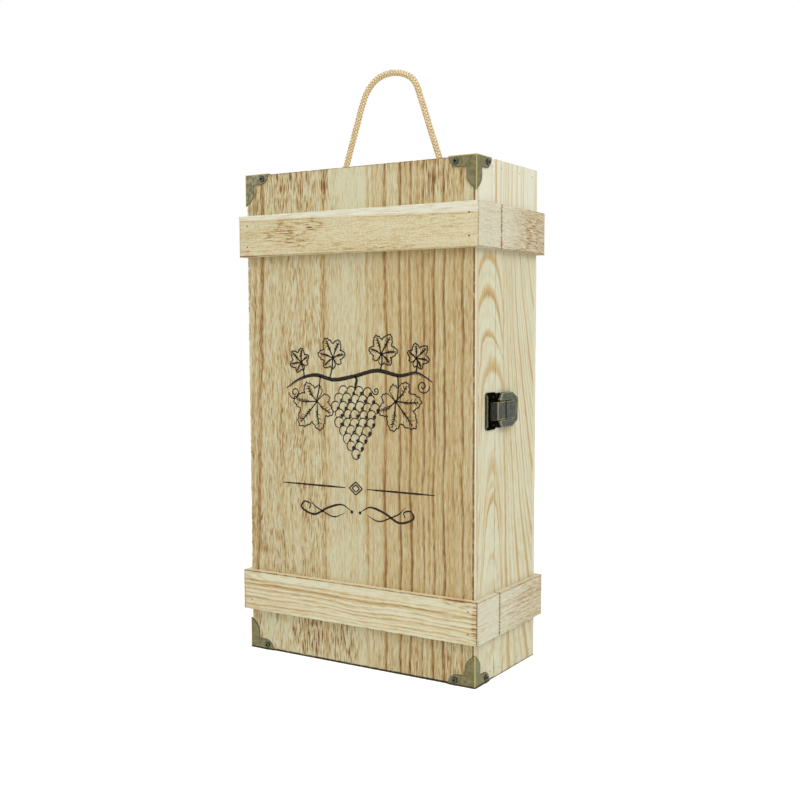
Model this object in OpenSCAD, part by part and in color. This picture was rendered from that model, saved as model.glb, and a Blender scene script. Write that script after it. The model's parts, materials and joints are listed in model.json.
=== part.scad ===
// Upright wooden box for two wine bottles: a deep rear case, a shallow front lid hinged on the left,
// battens round both ends, bronze corner protectors, a sprung latch and a rope handle.
// X runs along the front, the front faces -Y, and the box stands on Z = 0.

/* [Box body] */
// Width over the wood, without the battens
box_w = 189; // [160:1:240]
// Depth over the wood, front to back
box_d = 92; // [80:1:130]
// Height of the case
box_h = 350; // [300:1:430]
// Depth of the lid, front panel included
lid_d = 28; // [24:1:40]
// Thickness of the side, top and bottom boards
board_t = 8; // [7:0.5:12]
// Thickness of the front and back panels
panel_t = 4; // [3:0.5:6]
// Gap between the shut lid and the case
seam_gap = 0.4; // [0.2:0.1:1]

/* [Bottle divider] */
// Thickness of the divider board
divider_t = 5; // [3:0.5:8]
// Depth of the grooves that hold it
divider_groove = 2; // [1:0.5:4]
// Clearance of the divider in its grooves
divider_fit = 0.1; // [0.05:0.05:0.3]

/* [Battens] */
// Height of a batten
batten_h = 29.6; // [24:0.2:40]
// Thickness of a batten
batten_t = 4.2; // [3:0.1:7]
// Distance of the battens from the top and bottom of the box
batten_inset = 29.8; // [26:0.2:50]

/* [Corner protectors] */
// Thickness of the sheet
guard_t = 0.7; // [0.5:0.1:1.2]
// Length of a level arm, from the outer corner
guard_arm = 20.8; // [16:0.4:24]
// Length of the upright arm, from the outer corner
guard_rise = 22.6; // [18:0.2:25]
// Length of the upright arm's tapering end
guard_taper = 9.5; // [6:0.5:11]
// Width of an arm on each face
guard_w = 7.6; // [6:0.2:10]
// Distance of a screw from the outer corner, along the arm
guard_screw_run = 15.4; // [11:0.2:17]
// Distance of a screw from the folded edge
guard_screw_edge = 3.6; // [3:0.1:5]

/* [Screws and brads] */
// Radius of a domed screw head on the protectors
guard_head_r = 2.2; // [1.6:0.1:2.8]
// Height of a domed screw head on the protectors
guard_head_h = 1.1; // [0.6:0.1:1.6]
// Length of a protector screw below its head
guard_screw_len = 6.5; // [5:0.5:7.5]
// Radius of a hinge or latch screw head
small_head_r = 1.5; // [1.2:0.1:1.6]
// Height of a hinge or latch screw head
small_head_h = 0.6; // [0.4:0.1:0.7]
// Length of a hinge screw below its head
hinge_screw_len = 9; // [7:0.5:11]
// Length of a latch screw below its head
latch_screw_len = 6; // [4:0.5:7.5]
// Radius of every screw shank
shank_r = 0.9; // [0.7:0.1:1]
// Radial clearance of a shank or brad in its hole
shank_fit = 0.05; // [0.02:0.01:0.1]
// Radius of a brad
brad_r = 0.6; // [0.4:0.1:0.8]
// Length of a batten brad
batten_brad_len = 10.5; // [8:0.5:11]
// Length of a frame brad
frame_brad_len = 18; // [14:1:24]
// Distance of the front and back batten brads from the side of the box
batten_brad_side = 3; // [2.5:0.1:5]
// Height of a batten brad above or below the middle of its batten
batten_brad_rise = 7.5; // [5:0.5:10]
// Distance of the side batten brads from the back of the box
batten_brad_back = 9; // [8:0.5:20]
// Distance of the frame brads from the top and bottom of the box
frame_brad_edge = 5.4; // [3:0.1:6.2]
// Distance of the case's first frame brad from its open front
frame_brad_front = 8; // [4:0.5:12]
// Distance of the case's middle frame brad from the back panel
frame_brad_middle = 24.2; // [15:0.2:30]
// Distance of the case's last frame brad from the back panel
frame_brad_back = 4.2; // [2:0.2:8]
// Distance of the lid's frame brads from the seam
frame_brad_lid = 5.5; // [4:0.5:6]
// Width of the cross recess in a screw head
recess_w = 0.5; // [0.3:0.1:0.8]
// Depth of the cross recess in a screw head
recess_depth = 0.45; // [0.3:0.05:0.5]

/* [Hinges] */
// Height of a hinge
hinge_h = 24; // [18:1:24]
// Width of a hinge leaf, from the axis
hinge_leaf_w = 16; // [12:0.5:20]
// Thickness of a hinge leaf
hinge_leaf_t = 0.8; // [0.6:0.1:1]
// Outer radius of the knuckles
knuckle_r = 1.7; // [1.6:0.1:2.6]
// Radius of the hinge pin
hinge_pin_r = 0.8; // [0.6:0.05:0.9]
// Radial running clearance of the hinge pins
pin_fit = 0.05; // [0.02:0.01:0.1]
// Distance of the hinge axis from the batten, past the knuckle radius
hinge_lift = 0.2; // [0.1:0.1:0.5]
// Gap between neighbouring knuckles
knuckle_gap = 0.2; // [0.1:0.05:0.4]
// Clear space round the other leaf's knuckles
knuckle_relief = 0.4; // [0.3:0.1:0.8]
// Distance of the hinge screws from the axis
hinge_screw_run = 10.5; // [8:0.5:11]
// Height of a hinge screw above or below the middle of its hinge
hinge_screw_rise = 7; // [5:0.5:8]
// How far the head of a hinge or latch pin stands out round its shank
pin_head_out = 0.4; // [0.2:0.1:0.6]
// Height of the head of a hinge or latch pin
pin_head_h = 0.5; // [0.3:0.1:0.8]

/* [Latch] */
// Height of the middle of the latch
latch_z = 183.5; // [150:0.5:200]
// Height of the latch base plate on the lid
latch_base_h = 25; // [22:0.5:30]
// Length of the base plate, from the seam
latch_base_len = 15; // [13:0.5:18]
// Thickness of the latch sheet
latch_t = 0.8; // [0.6:0.1:1]
// Corner radius of the base plate
latch_base_round = 2.2; // [1:0.1:3]
// Height of the rolled lip at the edge of the base plate
latch_lip_h = 1.8; // [1.2:0.1:2.4]
// Width of the rolled lip
latch_lip_w = 1.2; // [0.8:0.1:2]
// Distance of the base plate's screws from the seam
latch_base_screw_run = 5.6; // [4:0.1:6]
// Height of the base plate's screws above or below its middle
latch_base_screw_rise = 9.4; // [9.2:0.1:10]
// Distance of the latch pin from the seam
latch_pin_run = 9.3; // [8.5:0.1:11]
// Radius of the latch pin
latch_pin_r = 0.7; // [0.5:0.05:0.8]
// Outer radius of the curl round the latch pin
latch_curl_r = 1.3; // [1.2:0.1:1.5]
// Gap between the curl and the base plate
latch_curl_gap = 0.2; // [0.1:0.05:0.4]
// Height of an ear that holds the latch pin
ear_h = 2.5; // [1.5:0.1:3]
// Gap between the tongue and an ear
ear_gap = 0.15; // [0.1:0.05:0.3]
// Height of the latch tongue along the pin
tongue_h = 12; // [9:0.5:12]
// Height of the tongue's outer face above the wood
tongue_top = 4.6; // [4.4:0.1:5.5]
// Distance of the tongue's bend from the seam, on the lid's side
tongue_bend_run = 4.6; // [3.5:0.1:6]
// Distance of the tongue's tip from the seam, on the case's side
tongue_tip_run = 7; // [6.5:0.1:7.5]
// Clearance of the tongue round the strike
tongue_gap = 0.7; // [0.4:0.1:1]
// Thickness of the ridge that the tongue snaps over
ridge_t = 0.9; // [0.6:0.1:1.2]
// Clearance of the tongue's hook behind the ridge, and over the strike's screws
hook_gap = 0.3; // [0.2:0.05:0.4]
// Gap between the ridge and the tongue's face over it
ridge_gap = 0.6; // [0.4:0.1:0.8]
// Height of the strike
strike_h = 23.6; // [22:0.2:26]
// Distance of the strike's near edge from the seam
strike_near = 1; // [0.6:0.1:1.5]
// Distance of the strike's far edge from the seam
strike_far = 27.5; // [24:0.5:32]
// Height of the strike's face above the wood
strike_top = 3.6; // [3.4:0.1:4]
// Length of the strike's chamfered corners along the box
strike_chamfer_run = 8; // [5:0.5:9]
// Height of the strike's chamfered corners
strike_chamfer_rise = 4; // [2:0.5:5]
// Length of the cut corners at the strike's near edge
strike_near_run = 3.4; // [1:0.2:4]
// Height of the cut corners at the strike's near edge
strike_near_rise = 4.2; // [1:0.2:4.6]
// Length of the raised tab
strike_tab_len = 15.6; // [12:0.2:17]
// Length of the slots beside the tab
strike_slot_len = 11.7; // [8:0.1:12]
// Corner radius of the raised tab
strike_tab_round = 3; // [2:0.5:4]
// Distance of the strike's screws from its near edge
strike_screw_run = 2.3; // [2:0.1:3]
// Height of the strike's screws above or below its middle
strike_screw_rise = 3.6; // [2.5:0.1:4.5]

/* [Rope handle] */
// Diameter of the rope
rope_d = 4; // [3.6:0.1:4.4]
// Diameter of the rope holes
rope_hole_d = 5; // [4.8:0.1:6]
// Distance between the rope holes
rope_spacing = 84; // [70:1:100]
// Distance of the rope holes from the seam
rope_setback = 20; // [14:1:30]
// Width of the countersink at the mouth of a rope hole
rope_sink = 2; // [1.8:0.1:2.5]
// Gap between the rounded end of the free rope and the rope in its hole
rope_end_gap = 0.3; // [0.2:0.1:0.5]
// Radius of the stopper knots under the top board
knot_r = 5.2; // [4.5:0.1:7]

/* [Hidden] */
// how far a cut runs past a face, and the space left past the tip of a fastener
cut = 1;
tip_space = 0.3;
half_w = box_w / 2;
half_d = box_d / 2;
front_y = -half_d;
seam_y = front_y + lid_d;
lid_back_y = seam_y - seam_gap / 2;
case_front_y = seam_y + seam_gap / 2;
inner_x = half_w - board_t;
back_inner_y = half_d - panel_t;
front_inner_y = front_y + panel_t;
// the lid stops short by the thickness of its protectors, which end flush with the case
lid_low_z = guard_t;
lid_high_z = box_h - guard_t;
batten_zs = [batten_inset + batten_h / 2, box_h - batten_inset - batten_h / 2];
batten_x = half_w + batten_t;
shank_hole_r = shank_r + shank_fit;
brad_hole_r = brad_r + shank_fit;
case_brad_ys = [
    case_front_y + frame_brad_front, back_inner_y - frame_brad_middle, back_inner_y - frame_brad_back
];
lid_brad_y = lid_back_y - frame_brad_lid;

// hinge axis, outboard of the left-hand battens
hinge_x = -(batten_x + hinge_lift + knuckle_r);
knuckle_h = (hinge_h - 2 * knuckle_gap) / 3;

// latch places, as distances along Y and out from the right-hand face
pin_y = seam_y - latch_pin_run;
pin_out = latch_t + latch_curl_r + latch_curl_gap;
latch_low_z = latch_z - tongue_h / 2;
bend_y = seam_y - tongue_bend_run;
tip_y = seam_y + tongue_tip_run;
tab_y = tip_y + tongue_gap;
ridge_y = tip_y - latch_t - hook_gap - ridge_t;
hook_low = latch_t + small_head_h + hook_gap;
strike_near_y = seam_y + strike_near;
strike_far_y = seam_y + strike_far;
window_h = tongue_h + 2 * tongue_gap;
base_screw_y = seam_y - latch_base_screw_run;
strike_screw_y = strike_near_y + strike_screw_run;

// rope: holes in the top board, and the route of the free arch as [x, height over the top board]
rope_r = rope_d / 2;
rope_y = seam_y + rope_setback;
rope_x = rope_spacing / 2;
rope_sides = 10;
rope_route = [
    [-rope_x, 0], [-41.3, 3], [-39.2, 8.5], [-36.2, 17.5], [-33, 27], [-29.8, 36.5], [-26.8, 45.5],
    [-24, 53], [-20.5, 60], [-15.5, 65.5], [-9, 69.2], [-2, 70.6], [5, 70.3], [11.8, 68.4],
    [17.3, 65], [21, 60], [23.6, 53.2], [26.8, 44.5], [30.2, 34.5], [33.6, 24.8], [36.8, 16],
    [39.4, 8.5], [41.2, 3], [rope_x, 0]
];

// corner protectors, the pieces that repeat with their signs: name, side of X, side of Z
guards = [
    ["corner_bottom_left", -1, -1], ["corner_bottom_right", 1, -1],
    ["corner_top_left", -1, 1], ["corner_top_right", 1, 1]
];
// battens that repeat: level name, index of the level in batten_zs
levels = [["lower", 0], ["upper", 1]];
sides = [["left", -1], ["right", 1]];

wood_front = [0.86, 0.76, 0.58];
wood_side = [0.9, 0.84, 0.72];
wood_batten = [0.88, 0.81, 0.67];
bronze = [0.46, 0.44, 0.3];
dark_bronze = [0.27, 0.25, 0.19];
dark_steel = [0.16, 0.16, 0.15];
rope_colour = [0.84, 0.71, 0.48];

// placing: each turns +Z to the outward direction of one face of the box
module on_front(x, y, z) {
    translate([x, y, z]) rotate([90, 0, 0]) children();
}
module on_back(x, y, z) {
    translate([x, y, z]) rotate([-90, 0, 0]) children();
}
module on_side(sx, x, y, z) {
    translate([sx * x, y, z]) rotate([0, sx * 90, 0]) children();
}
// a board between two corners
module board(low, high) {
    translate(low) cube(high - low);
}
// a hole from just outside the face down to a depth
module hole(r, depth) {
    translate([0, 0, -depth - tip_space]) cylinder(r = r, h = depth + tip_space + cut, $fn = 24);
}
// a domed screw with a cross recess, its head on Z = 0
module screw(head_r, head_h, length) {
    dome_r = (head_r * head_r + head_h * head_h) / (2 * head_h);
    difference() {
        union() {
            intersection() {
                translate([0, 0, head_h - dome_r]) sphere(r = dome_r, $fn = 48);
                cylinder(r = 2 * head_r, h = 2 * head_h, $fn = 32);
            }
            translate([0, 0, -length]) cylinder(r = shank_r, h = length + head_h / 4, $fn = 24);
        }
        for (size = [[1.1 * head_r, recess_w], [recess_w, 1.1 * head_r]]) {
            translate([0, 0, head_h]) cube([size[0], size[1], 2 * recess_depth], center = true);
        }
    }
}
module brad(length) {
    translate([0, 0, -length]) cylinder(r = brad_r, h = length, $fn = 16);
}

// fastener places
module at_guard_front() {
    for (g = guards) {
        z = g[2] > 0 ? box_h - guard_screw_edge : guard_screw_edge;
        on_front(g[1] * (half_w + guard_t - guard_screw_run), front_y - guard_t, z) children();
    }
}
module at_guard_side(sx) {
    for (z = [guard_screw_edge, box_h - guard_screw_edge]) {
        on_side(sx, half_w + guard_t, front_y - guard_t + guard_screw_run, z) children();
    }
}
module at_front_batten_brads(sx) {
    for (z = batten_zs, rise = [-1, 1] * batten_brad_rise) {
        on_front(sx * (half_w - batten_brad_side), front_y - batten_t, z + rise) children();
    }
}
module at_back_batten_brads(sx) {
    for (z = batten_zs, rise = [-1, 1] * batten_brad_rise) {
        on_back(sx * (half_w - batten_brad_side), half_d + batten_t, z + rise) children();
    }
}
module at_side_batten_brads(sx) {
    for (z = batten_zs, rise = [-1, 1] * batten_brad_rise) {
        on_side(sx, batten_x, half_d - batten_brad_back, z + rise) children();
    }
}
module at_case_frame_brads(sx) {
    for (z = [frame_brad_edge, box_h - frame_brad_edge], y = case_brad_ys) {
        on_side(sx, half_w, y, z) children();
    }
}
module at_lid_frame_brads(sx) {
    for (z = [frame_brad_edge, box_h - frame_brad_edge]) {
        on_side(sx, half_w, lid_brad_y, z) children();
    }
}
module at_hinge_screws(sy) {
    for (z = batten_zs, rise = [-1, 1] * hinge_screw_rise) {
        on_side(-1, batten_x + hinge_leaf_t, seam_y + sy * hinge_screw_run, z + rise) children();
    }
}
module at_latch_base_screws() {
    for (rise = [-1, 1] * latch_base_screw_rise) {
        on_side(1, half_w + latch_t, base_screw_y, latch_z + rise) children();
    }
}
module at_strike_screws() {
    for (rise = [-1, 1] * strike_screw_rise) {
        on_side(1, half_w + latch_t, strike_screw_y, latch_z + rise) children();
    }
}

// case
module back_panel() {
    color(wood_front) difference() {
        board([-half_w, back_inner_y, 0], [half_w, half_d, box_h]);
        for (sx = [-1, 1]) at_back_batten_brads(sx) hole(brad_hole_r, batten_brad_len);
    }
}
module case_side(sx) {
    low_x = sx < 0 ? -half_w : inner_x;
    color(wood_side) difference() {
        board([low_x, case_front_y, 0], [low_x + board_t, back_inner_y, box_h]);
        at_back_batten_brads(sx) hole(brad_hole_r, batten_brad_len);
        at_side_batten_brads(sx) hole(brad_hole_r, batten_brad_len);
        at_case_frame_brads(sx) hole(brad_hole_r, frame_brad_len);
        if (sx < 0) at_hinge_screws(1) hole(shank_hole_r, hinge_screw_len);
        if (sx > 0) at_strike_screws() hole(shank_hole_r, latch_screw_len);
    }
}
module divider_slot() {
    slot_x = divider_t / 2 + divider_fit;
    slot_low = board_t - divider_groove - divider_fit;
    board([-slot_x, case_front_y - cut, slot_low], [slot_x, back_inner_y + cut, box_h - slot_low]);
}
module rope_hole(x) {
    hole_r = rope_hole_d / 2;
    translate([x, rope_y, box_h - board_t - cut]) cylinder(r = hole_r, h = board_t + 2 * cut, $fn = 48);
    translate([x, rope_y, box_h - rope_sink])
        cylinder(r1 = hole_r, r2 = hole_r + rope_sink + cut, h = rope_sink + cut, $fn = 48);
}
module case_top() {
    color(wood_side) difference() {
        board([-inner_x, case_front_y, box_h - board_t], [inner_x, back_inner_y, box_h]);
        divider_slot();
        for (sx = [-1, 1]) {
            rope_hole(sx * rope_x);
            at_case_frame_brads(sx) hole(brad_hole_r, frame_brad_len);
        }
    }
}
module case_bottom() {
    color(wood_side) difference() {
        board([-inner_x, case_front_y, 0], [inner_x, back_inner_y, board_t]);
        divider_slot();
        for (sx = [-1, 1]) at_case_frame_brads(sx) hole(brad_hole_r, frame_brad_len);
    }
}
module bottle_divider() {
    low_z = board_t - divider_groove;
    color(wood_side)
        board([-divider_t / 2, case_front_y, low_z], [divider_t / 2, back_inner_y, box_h - low_z]);
}

// lid
module front_panel() {
    color(wood_front) difference() {
        board([-half_w, front_y, lid_low_z], [half_w, front_inner_y, lid_high_z]);
        at_guard_front() hole(shank_hole_r, guard_screw_len);
        for (sx = [-1, 1]) at_front_batten_brads(sx) hole(brad_hole_r, batten_brad_len);
    }
}
module lid_side(sx) {
    low_x = sx < 0 ? -half_w : inner_x;
    color(wood_side) difference() {
        board([low_x, front_inner_y, lid_low_z], [low_x + board_t, lid_back_y, lid_high_z]);
        at_guard_side(sx) hole(shank_hole_r, guard_screw_len);
        at_front_batten_brads(sx) hole(brad_hole_r, batten_brad_len);
        at_lid_frame_brads(sx) hole(brad_hole_r, frame_brad_len);
        if (sx < 0) at_hinge_screws(-1) hole(shank_hole_r, hinge_screw_len);
        if (sx > 0) at_latch_base_screws() hole(shank_hole_r, latch_screw_len);
    }
}
module lid_end(low_z) {
    color(wood_side) difference() {
        board([-inner_x, front_inner_y, low_z], [inner_x, lid_back_y, low_z + board_t]);
        at_guard_front() hole(shank_hole_r, guard_screw_len);
        for (sx = [-1, 1]) at_lid_frame_brads(sx) hole(brad_hole_r, frame_brad_len);
    }
}

// battens: mitred at the corners of the box, cut square at the seam
module long_batten(sy, level) {
    outline = [
        [-half_w, sy * half_d], [half_w, sy * half_d],
        [batten_x, sy * (half_d + batten_t)], [-batten_x, sy * (half_d + batten_t)]
    ];
    color(wood_batten) difference() {
        translate([0, 0, batten_zs[level] - batten_h / 2]) linear_extrude(batten_h) polygon(outline);
        for (sx = [-1, 1]) {
            if (sy < 0) at_front_batten_brads(sx) hole(brad_hole_r, batten_brad_len);
            if (sy > 0) at_back_batten_brads(sx) hole(brad_hole_r, batten_brad_len);
        }
    }
}
module side_batten(sx, level, end_y, corner_y, sy) {
    outline = [
        [sx * half_w, end_y], [sx * batten_x, end_y],
        [sx * batten_x, corner_y + sy * batten_t], [sx * half_w, corner_y]
    ];
    color(wood_batten) difference() {
        translate([0, 0, batten_zs[level] - batten_h / 2]) linear_extrude(batten_h) polygon(outline);
        if (sy > 0) at_side_batten_brads(sx) hole(brad_hole_r, batten_brad_len);
        if (sx < 0) at_hinge_screws(sy) hole(shank_hole_r, hinge_screw_len);
    }
}

// corner protectors: three folded arms, the level ones with round ends and the upright one with a blunt point
module quarter(r) {
    intersection() {
        circle(r = r, $fn = 64);
        square(r);
    }
}
module guard_face(upright) {
    reach = guard_arm - guard_w;
    rise = upright ? guard_rise - guard_taper : reach;
    square([reach, guard_w]);
    square([guard_w, rise]);
    translate([reach, 0]) quarter(guard_w);
    translate([0, rise])
        if (upright)
            polygon([
                [0, 0],
                for (i = [0 : 20]) let (t = sin(4.5 * i)) [guard_w * t, guard_taper * sqrt(1 - t)]
            ]);
        else
            quarter(guard_w);
}
module corner_guard(sx, sz) {
    color(bronze)
    translate([sx * (half_w + guard_t), front_y - guard_t, sz > 0 ? box_h : 0])
    mirror([sx > 0 ? 1 : 0, 0, 0])
    mirror([0, 0, sz > 0 ? 1 : 0])
    difference() {
        union() {
            linear_extrude(guard_t) guard_face(false);
            translate([0, guard_t, 0]) rotate([90, 0, 0]) linear_extrude(guard_t) guard_face(true);
            rotate([90, 0, 90]) linear_extrude(guard_t) guard_face(true);
        }
        translate([guard_screw_run, guard_t + cut, guard_screw_edge])
            rotate([90, 0, 0]) cylinder(r = shank_hole_r, h = guard_t + 2 * cut, $fn = 24);
        translate([-cut, guard_screw_run, guard_screw_edge])
            rotate([0, 90, 0]) cylinder(r = shank_hole_r, h = guard_t + 2 * cut, $fn = 24);
    }
}
module corner_screws() {
    color(dark_steel) {
        at_guard_front() screw(guard_head_r, guard_head_h, guard_screw_len);
        for (sx = [-1, 1]) at_guard_side(sx) screw(guard_head_r, guard_head_h, guard_screw_len);
    }
}
module lid_brads() {
    color(dark_steel) for (sx = [-1, 1]) {
        at_front_batten_brads(sx) brad(batten_brad_len);
        at_lid_frame_brads(sx) brad(frame_brad_len);
    }
}
module case_brads() {
    color(dark_steel) for (sx = [-1, 1]) {
        at_back_batten_brads(sx) brad(batten_brad_len);
        at_side_batten_brads(sx) brad(batten_brad_len);
        at_case_frame_brads(sx) brad(frame_brad_len);
    }
}

// hinges on the left-hand battens: the case leaf has the outer knuckles, the lid leaf the middle one
module knuckle(index) {
    translate([0, 0, -hinge_h / 2 + index * (knuckle_h + knuckle_gap)])
        cylinder(r = knuckle_r, h = knuckle_h, $fn = 48);
}
module knuckle_space(index) {
    translate([0, 0, -hinge_h / 2 + index * (knuckle_h + knuckle_gap) - knuckle_gap])
        cylinder(r = knuckle_r + knuckle_relief, h = knuckle_h + 2 * knuckle_gap, $fn = 48);
}
module hinge_leaf(level, sy) {
    mine = sy > 0 ? [0, 2] : [1];
    others = sy > 0 ? [1] : [0, 2];
    leaf_x = -(batten_x + hinge_leaf_t) - hinge_x;
    edge_y = seam_gap / 2;
    color(dark_bronze) difference() {
        translate([hinge_x, seam_y, batten_zs[level]]) difference() {
            union() {
                difference() {
                    translate([leaf_x, sy > 0 ? edge_y : -hinge_leaf_w, -hinge_h / 2])
                        cube([hinge_leaf_t, hinge_leaf_w - edge_y, hinge_h]);
                    for (i = others) knuckle_space(i);
                }
                for (i = mine) knuckle(i);
            }
            translate([0, 0, -hinge_h]) cylinder(r = hinge_pin_r + pin_fit, h = 2 * hinge_h, $fn = 48);
        }
        at_hinge_screws(sy) hole(shank_hole_r, hinge_leaf_t);
    }
}
// a pin with a head at both ends, its middle on Z = 0
module headed_pin(r, length) {
    translate([0, 0, -length / 2]) cylinder(r = r, h = length, $fn = 48);
    for (z = [-length / 2 - pin_head_h, length / 2]) {
        translate([0, 0, z]) cylinder(r = r + pin_head_out, h = pin_head_h, $fn = 48);
    }
}
module hinge_pin(level) {
    color(dark_bronze) translate([hinge_x, seam_y, batten_zs[level]]) headed_pin(hinge_pin_r, hinge_h);
}
module hinge_screws(sy) {
    color(dark_steel) at_hinge_screws(sy) screw(small_head_r, small_head_h, hinge_screw_len);
}

// latch: a base plate and tongue on the lid, and a raised strike on the case
module rounded_rect(low, high, r) {
    square_w = high[0] - low[0];
    square_h = high[1] - low[1];
    translate([low[0] + r, low[1]]) square([square_w - 2 * r, square_h]);
    translate([low[0], low[1] + r]) square([square_w, square_h - 2 * r]);
    for (x = [low[0] + r, high[0] - r], y = [low[1] + r, high[1] - r]) {
        translate([x, y]) circle(r = r, $fn = 48);
    }
}
// stands a sheet drawn in Y and Z on the right-hand face, from one height over the wood to another
module sheet_on_side(from, to) {
    translate([half_w + from, 0, 0]) rotate([90, 0, 90]) linear_extrude(to - from) children();
}
module latch_base() {
    low_y = seam_y - latch_base_len;
    high_y = lid_back_y - seam_gap / 2;
    low_z = latch_z - latch_base_h / 2;
    high_z = latch_z + latch_base_h / 2;
    color(dark_bronze) difference() {
        union() {
            sheet_on_side(0, latch_t) rounded_rect([low_y, low_z], [high_y, high_z], latch_base_round);
            board(
                [half_w, low_y, low_z + latch_base_round],
                [half_w + latch_lip_h, low_y + latch_lip_w, high_z - latch_base_round]
            );
            for (z = [latch_low_z - ear_gap - ear_h, latch_low_z + tongue_h + ear_gap]) {
                translate([half_w + pin_out, pin_y, z]) cylinder(r = latch_curl_r, h = ear_h, $fn = 48);
                board(
                    [half_w + latch_t / 2, pin_y - latch_curl_r, z],
                    [half_w + pin_out, pin_y + latch_curl_r, z + ear_h]
                );
            }
        }
        translate([half_w + pin_out, pin_y, latch_z - latch_base_h])
            cylinder(r = latch_pin_r + pin_fit, h = 2 * latch_base_h, $fn = 48);
        at_latch_base_screws() hole(shank_hole_r, latch_t);
    }
}
module latch_pin() {
    color(dark_bronze) translate([half_w + pin_out, pin_y, latch_z])
        headed_pin(latch_pin_r, tongue_h + 2 * (ear_gap + ear_h));
}
module latch_tongue() {
    curl_top = pin_out + latch_curl_r;
    strip = [
        [curl_top, pin_y], [tongue_top, bend_y], [tongue_top, tip_y], [hook_low, tip_y],
        [hook_low, tip_y - latch_t], [tongue_top - latch_t, tip_y - latch_t],
        [tongue_top - latch_t, bend_y], [curl_top - latch_t, pin_y]
    ];
    color(dark_bronze) difference() {
        translate([half_w, 0, latch_low_z]) linear_extrude(tongue_h) {
            polygon(strip);
            translate([pin_out, pin_y]) circle(r = latch_curl_r, $fn = 48);
        }
        translate([half_w + pin_out, pin_y, latch_low_z - cut])
            cylinder(r = latch_pin_r + pin_fit, h = tongue_h + 2 * cut, $fn = 48);
    }
}
function strike_outline() =
    let (
        near = strike_near_y,
        far = strike_far_y,
        bend = far - strike_chamfer_run,
        top = strike_h / 2,
        shoulder = top - strike_chamfer_rise,
        cheek = top - strike_near_rise
    )
    [
        [near + strike_near_run, -top], [bend, -top], [far, -shoulder], [far, shoulder],
        [bend, top], [near + strike_near_run, top], [near, cheek], [near, -cheek]
    ];
module latch_strike() {
    tab_far_y = tab_y + strike_tab_len;
    ridge_h = tongue_h - 2 * ridge_t;
    color(dark_bronze) difference() {
        union() {
            difference() {
                translate([0, 0, latch_z]) difference() {
                    sheet_on_side(0, strike_top) polygon(strike_outline());
                    sheet_on_side(-cut, strike_top - latch_t) offset(delta = -latch_t) polygon(strike_outline());
                }
                board(
                    [half_w - cut, strike_near_y - cut, latch_z - window_h / 2],
                    [half_w + strike_top + cut, tab_y, latch_z + window_h / 2]
                );
                for (z = [latch_z - window_h / 2, latch_z + tongue_h / 2]) {
                    board(
                        [half_w + strike_top - 2 * latch_t, tab_y - cut, z],
                        [half_w + strike_top + cut, tab_y + strike_slot_len, z + tongue_gap]
                    );
                }
            }
            // the raised tab, its folded edge, the floor in the window and the ridge under the tongue
            sheet_on_side(strike_top - latch_t, tongue_top) {
                rounded_rect([tab_y, latch_low_z], [tab_far_y, latch_low_z + tongue_h], strike_tab_round);
                translate([tab_y, latch_low_z]) square([strike_tab_len / 2, tongue_h]);
            }
            board(
                [half_w + latch_t / 2, tab_y, latch_z - tongue_h / 2],
                [half_w + strike_top, tab_y + latch_t, latch_z + tongue_h / 2]
            );
            board(
                [half_w, strike_near_y, latch_z - window_h / 2],
                [half_w + latch_t, tab_y + 2 * latch_t, latch_z + window_h / 2]
            );
            board(
                [half_w + latch_t / 2, ridge_y, latch_z - ridge_h / 2],
                [half_w + tongue_top - latch_t - ridge_gap, ridge_y + ridge_t, latch_z + ridge_h / 2]
            );
        }
        at_strike_screws() hole(shank_hole_r, latch_t);
    }
}

// rope handle: the free arch, swept along its route, with rounded ends that turn in the mouths of the holes
function route_point(i) = [rope_route[i][0], rope_y, box_h + rope_route[i][1]];
function route_way(i) =
    let (
        last = len(rope_route) - 1,
        step = route_point(min(i + 1, last)) - route_point(max(i - 1, 0))
    )
    step / norm(step);
// one ring as [centre, direction, radius]
function rope_ring(i) = [route_point(i), route_way(i), rope_r];
function end_ring(i, sign, angle) =
    [route_point(i) + sign * rope_r * sin(angle) * route_way(i), route_way(i), rope_r * cos(angle)];
function ring_points(ring) =
    let (across = [0, 1, 0], outward = cross(ring[1], across))
    [for (k = [0 : rope_sides - 1])
        let (turn = 360 * k / rope_sides)
        ring[0] + ring[2] * (cos(turn) * outward + sin(turn) * across)];
module rope_handle() {
    last = len(rope_route) - 1;
    rings = concat(
        [for (a = [75, 50, 25]) end_ring(0, -1, a)],
        [for (i = [0 : last]) rope_ring(i)],
        [for (a = [25, 50, 75]) end_ring(last, 1, a)]
    );
    count = len(rings);
    points = [for (ring = rings) each ring_points(ring)];
    walls = [for (i = [0 : count - 2], k = [0 : rope_sides - 1], half = [0, 1])
        let (
            next = (k + 1) % rope_sides,
            a = i * rope_sides + k,
            b = i * rope_sides + next,
            c = (i + 1) * rope_sides + next,
            d = (i + 1) * rope_sides + k
        )
        half == 0 ? [a, b, c] : [a, c, d]];
    start_cap = [for (k = [rope_sides - 1 : -1 : 0]) k];
    end_cap = [for (k = [0 : rope_sides - 1]) (count - 1) * rope_sides + k];
    color(rope_colour) polyhedron(points, concat([start_cap], walls, [end_cap]));
}
// the rope in its hole and its stopper knot, pulled flat against the top board
module rope_end(x) {
    under_z = box_h - board_t;
    knot_z = under_z - 0.7 * knot_r;
    color(rope_colour) translate([x, rope_y, 0]) {
        translate([0, 0, knot_z]) cylinder(r = rope_r, h = box_h - rope_r - rope_end_gap - knot_z, $fn = 48);
        intersection() {
            translate([0, 0, knot_z]) sphere(r = knot_r, $fn = 48);
            translate([0, 0, under_z - 3 * knot_r]) cylinder(r = 2 * knot_r, h = 3 * knot_r, $fn = 48);
        }
    }
}

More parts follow.
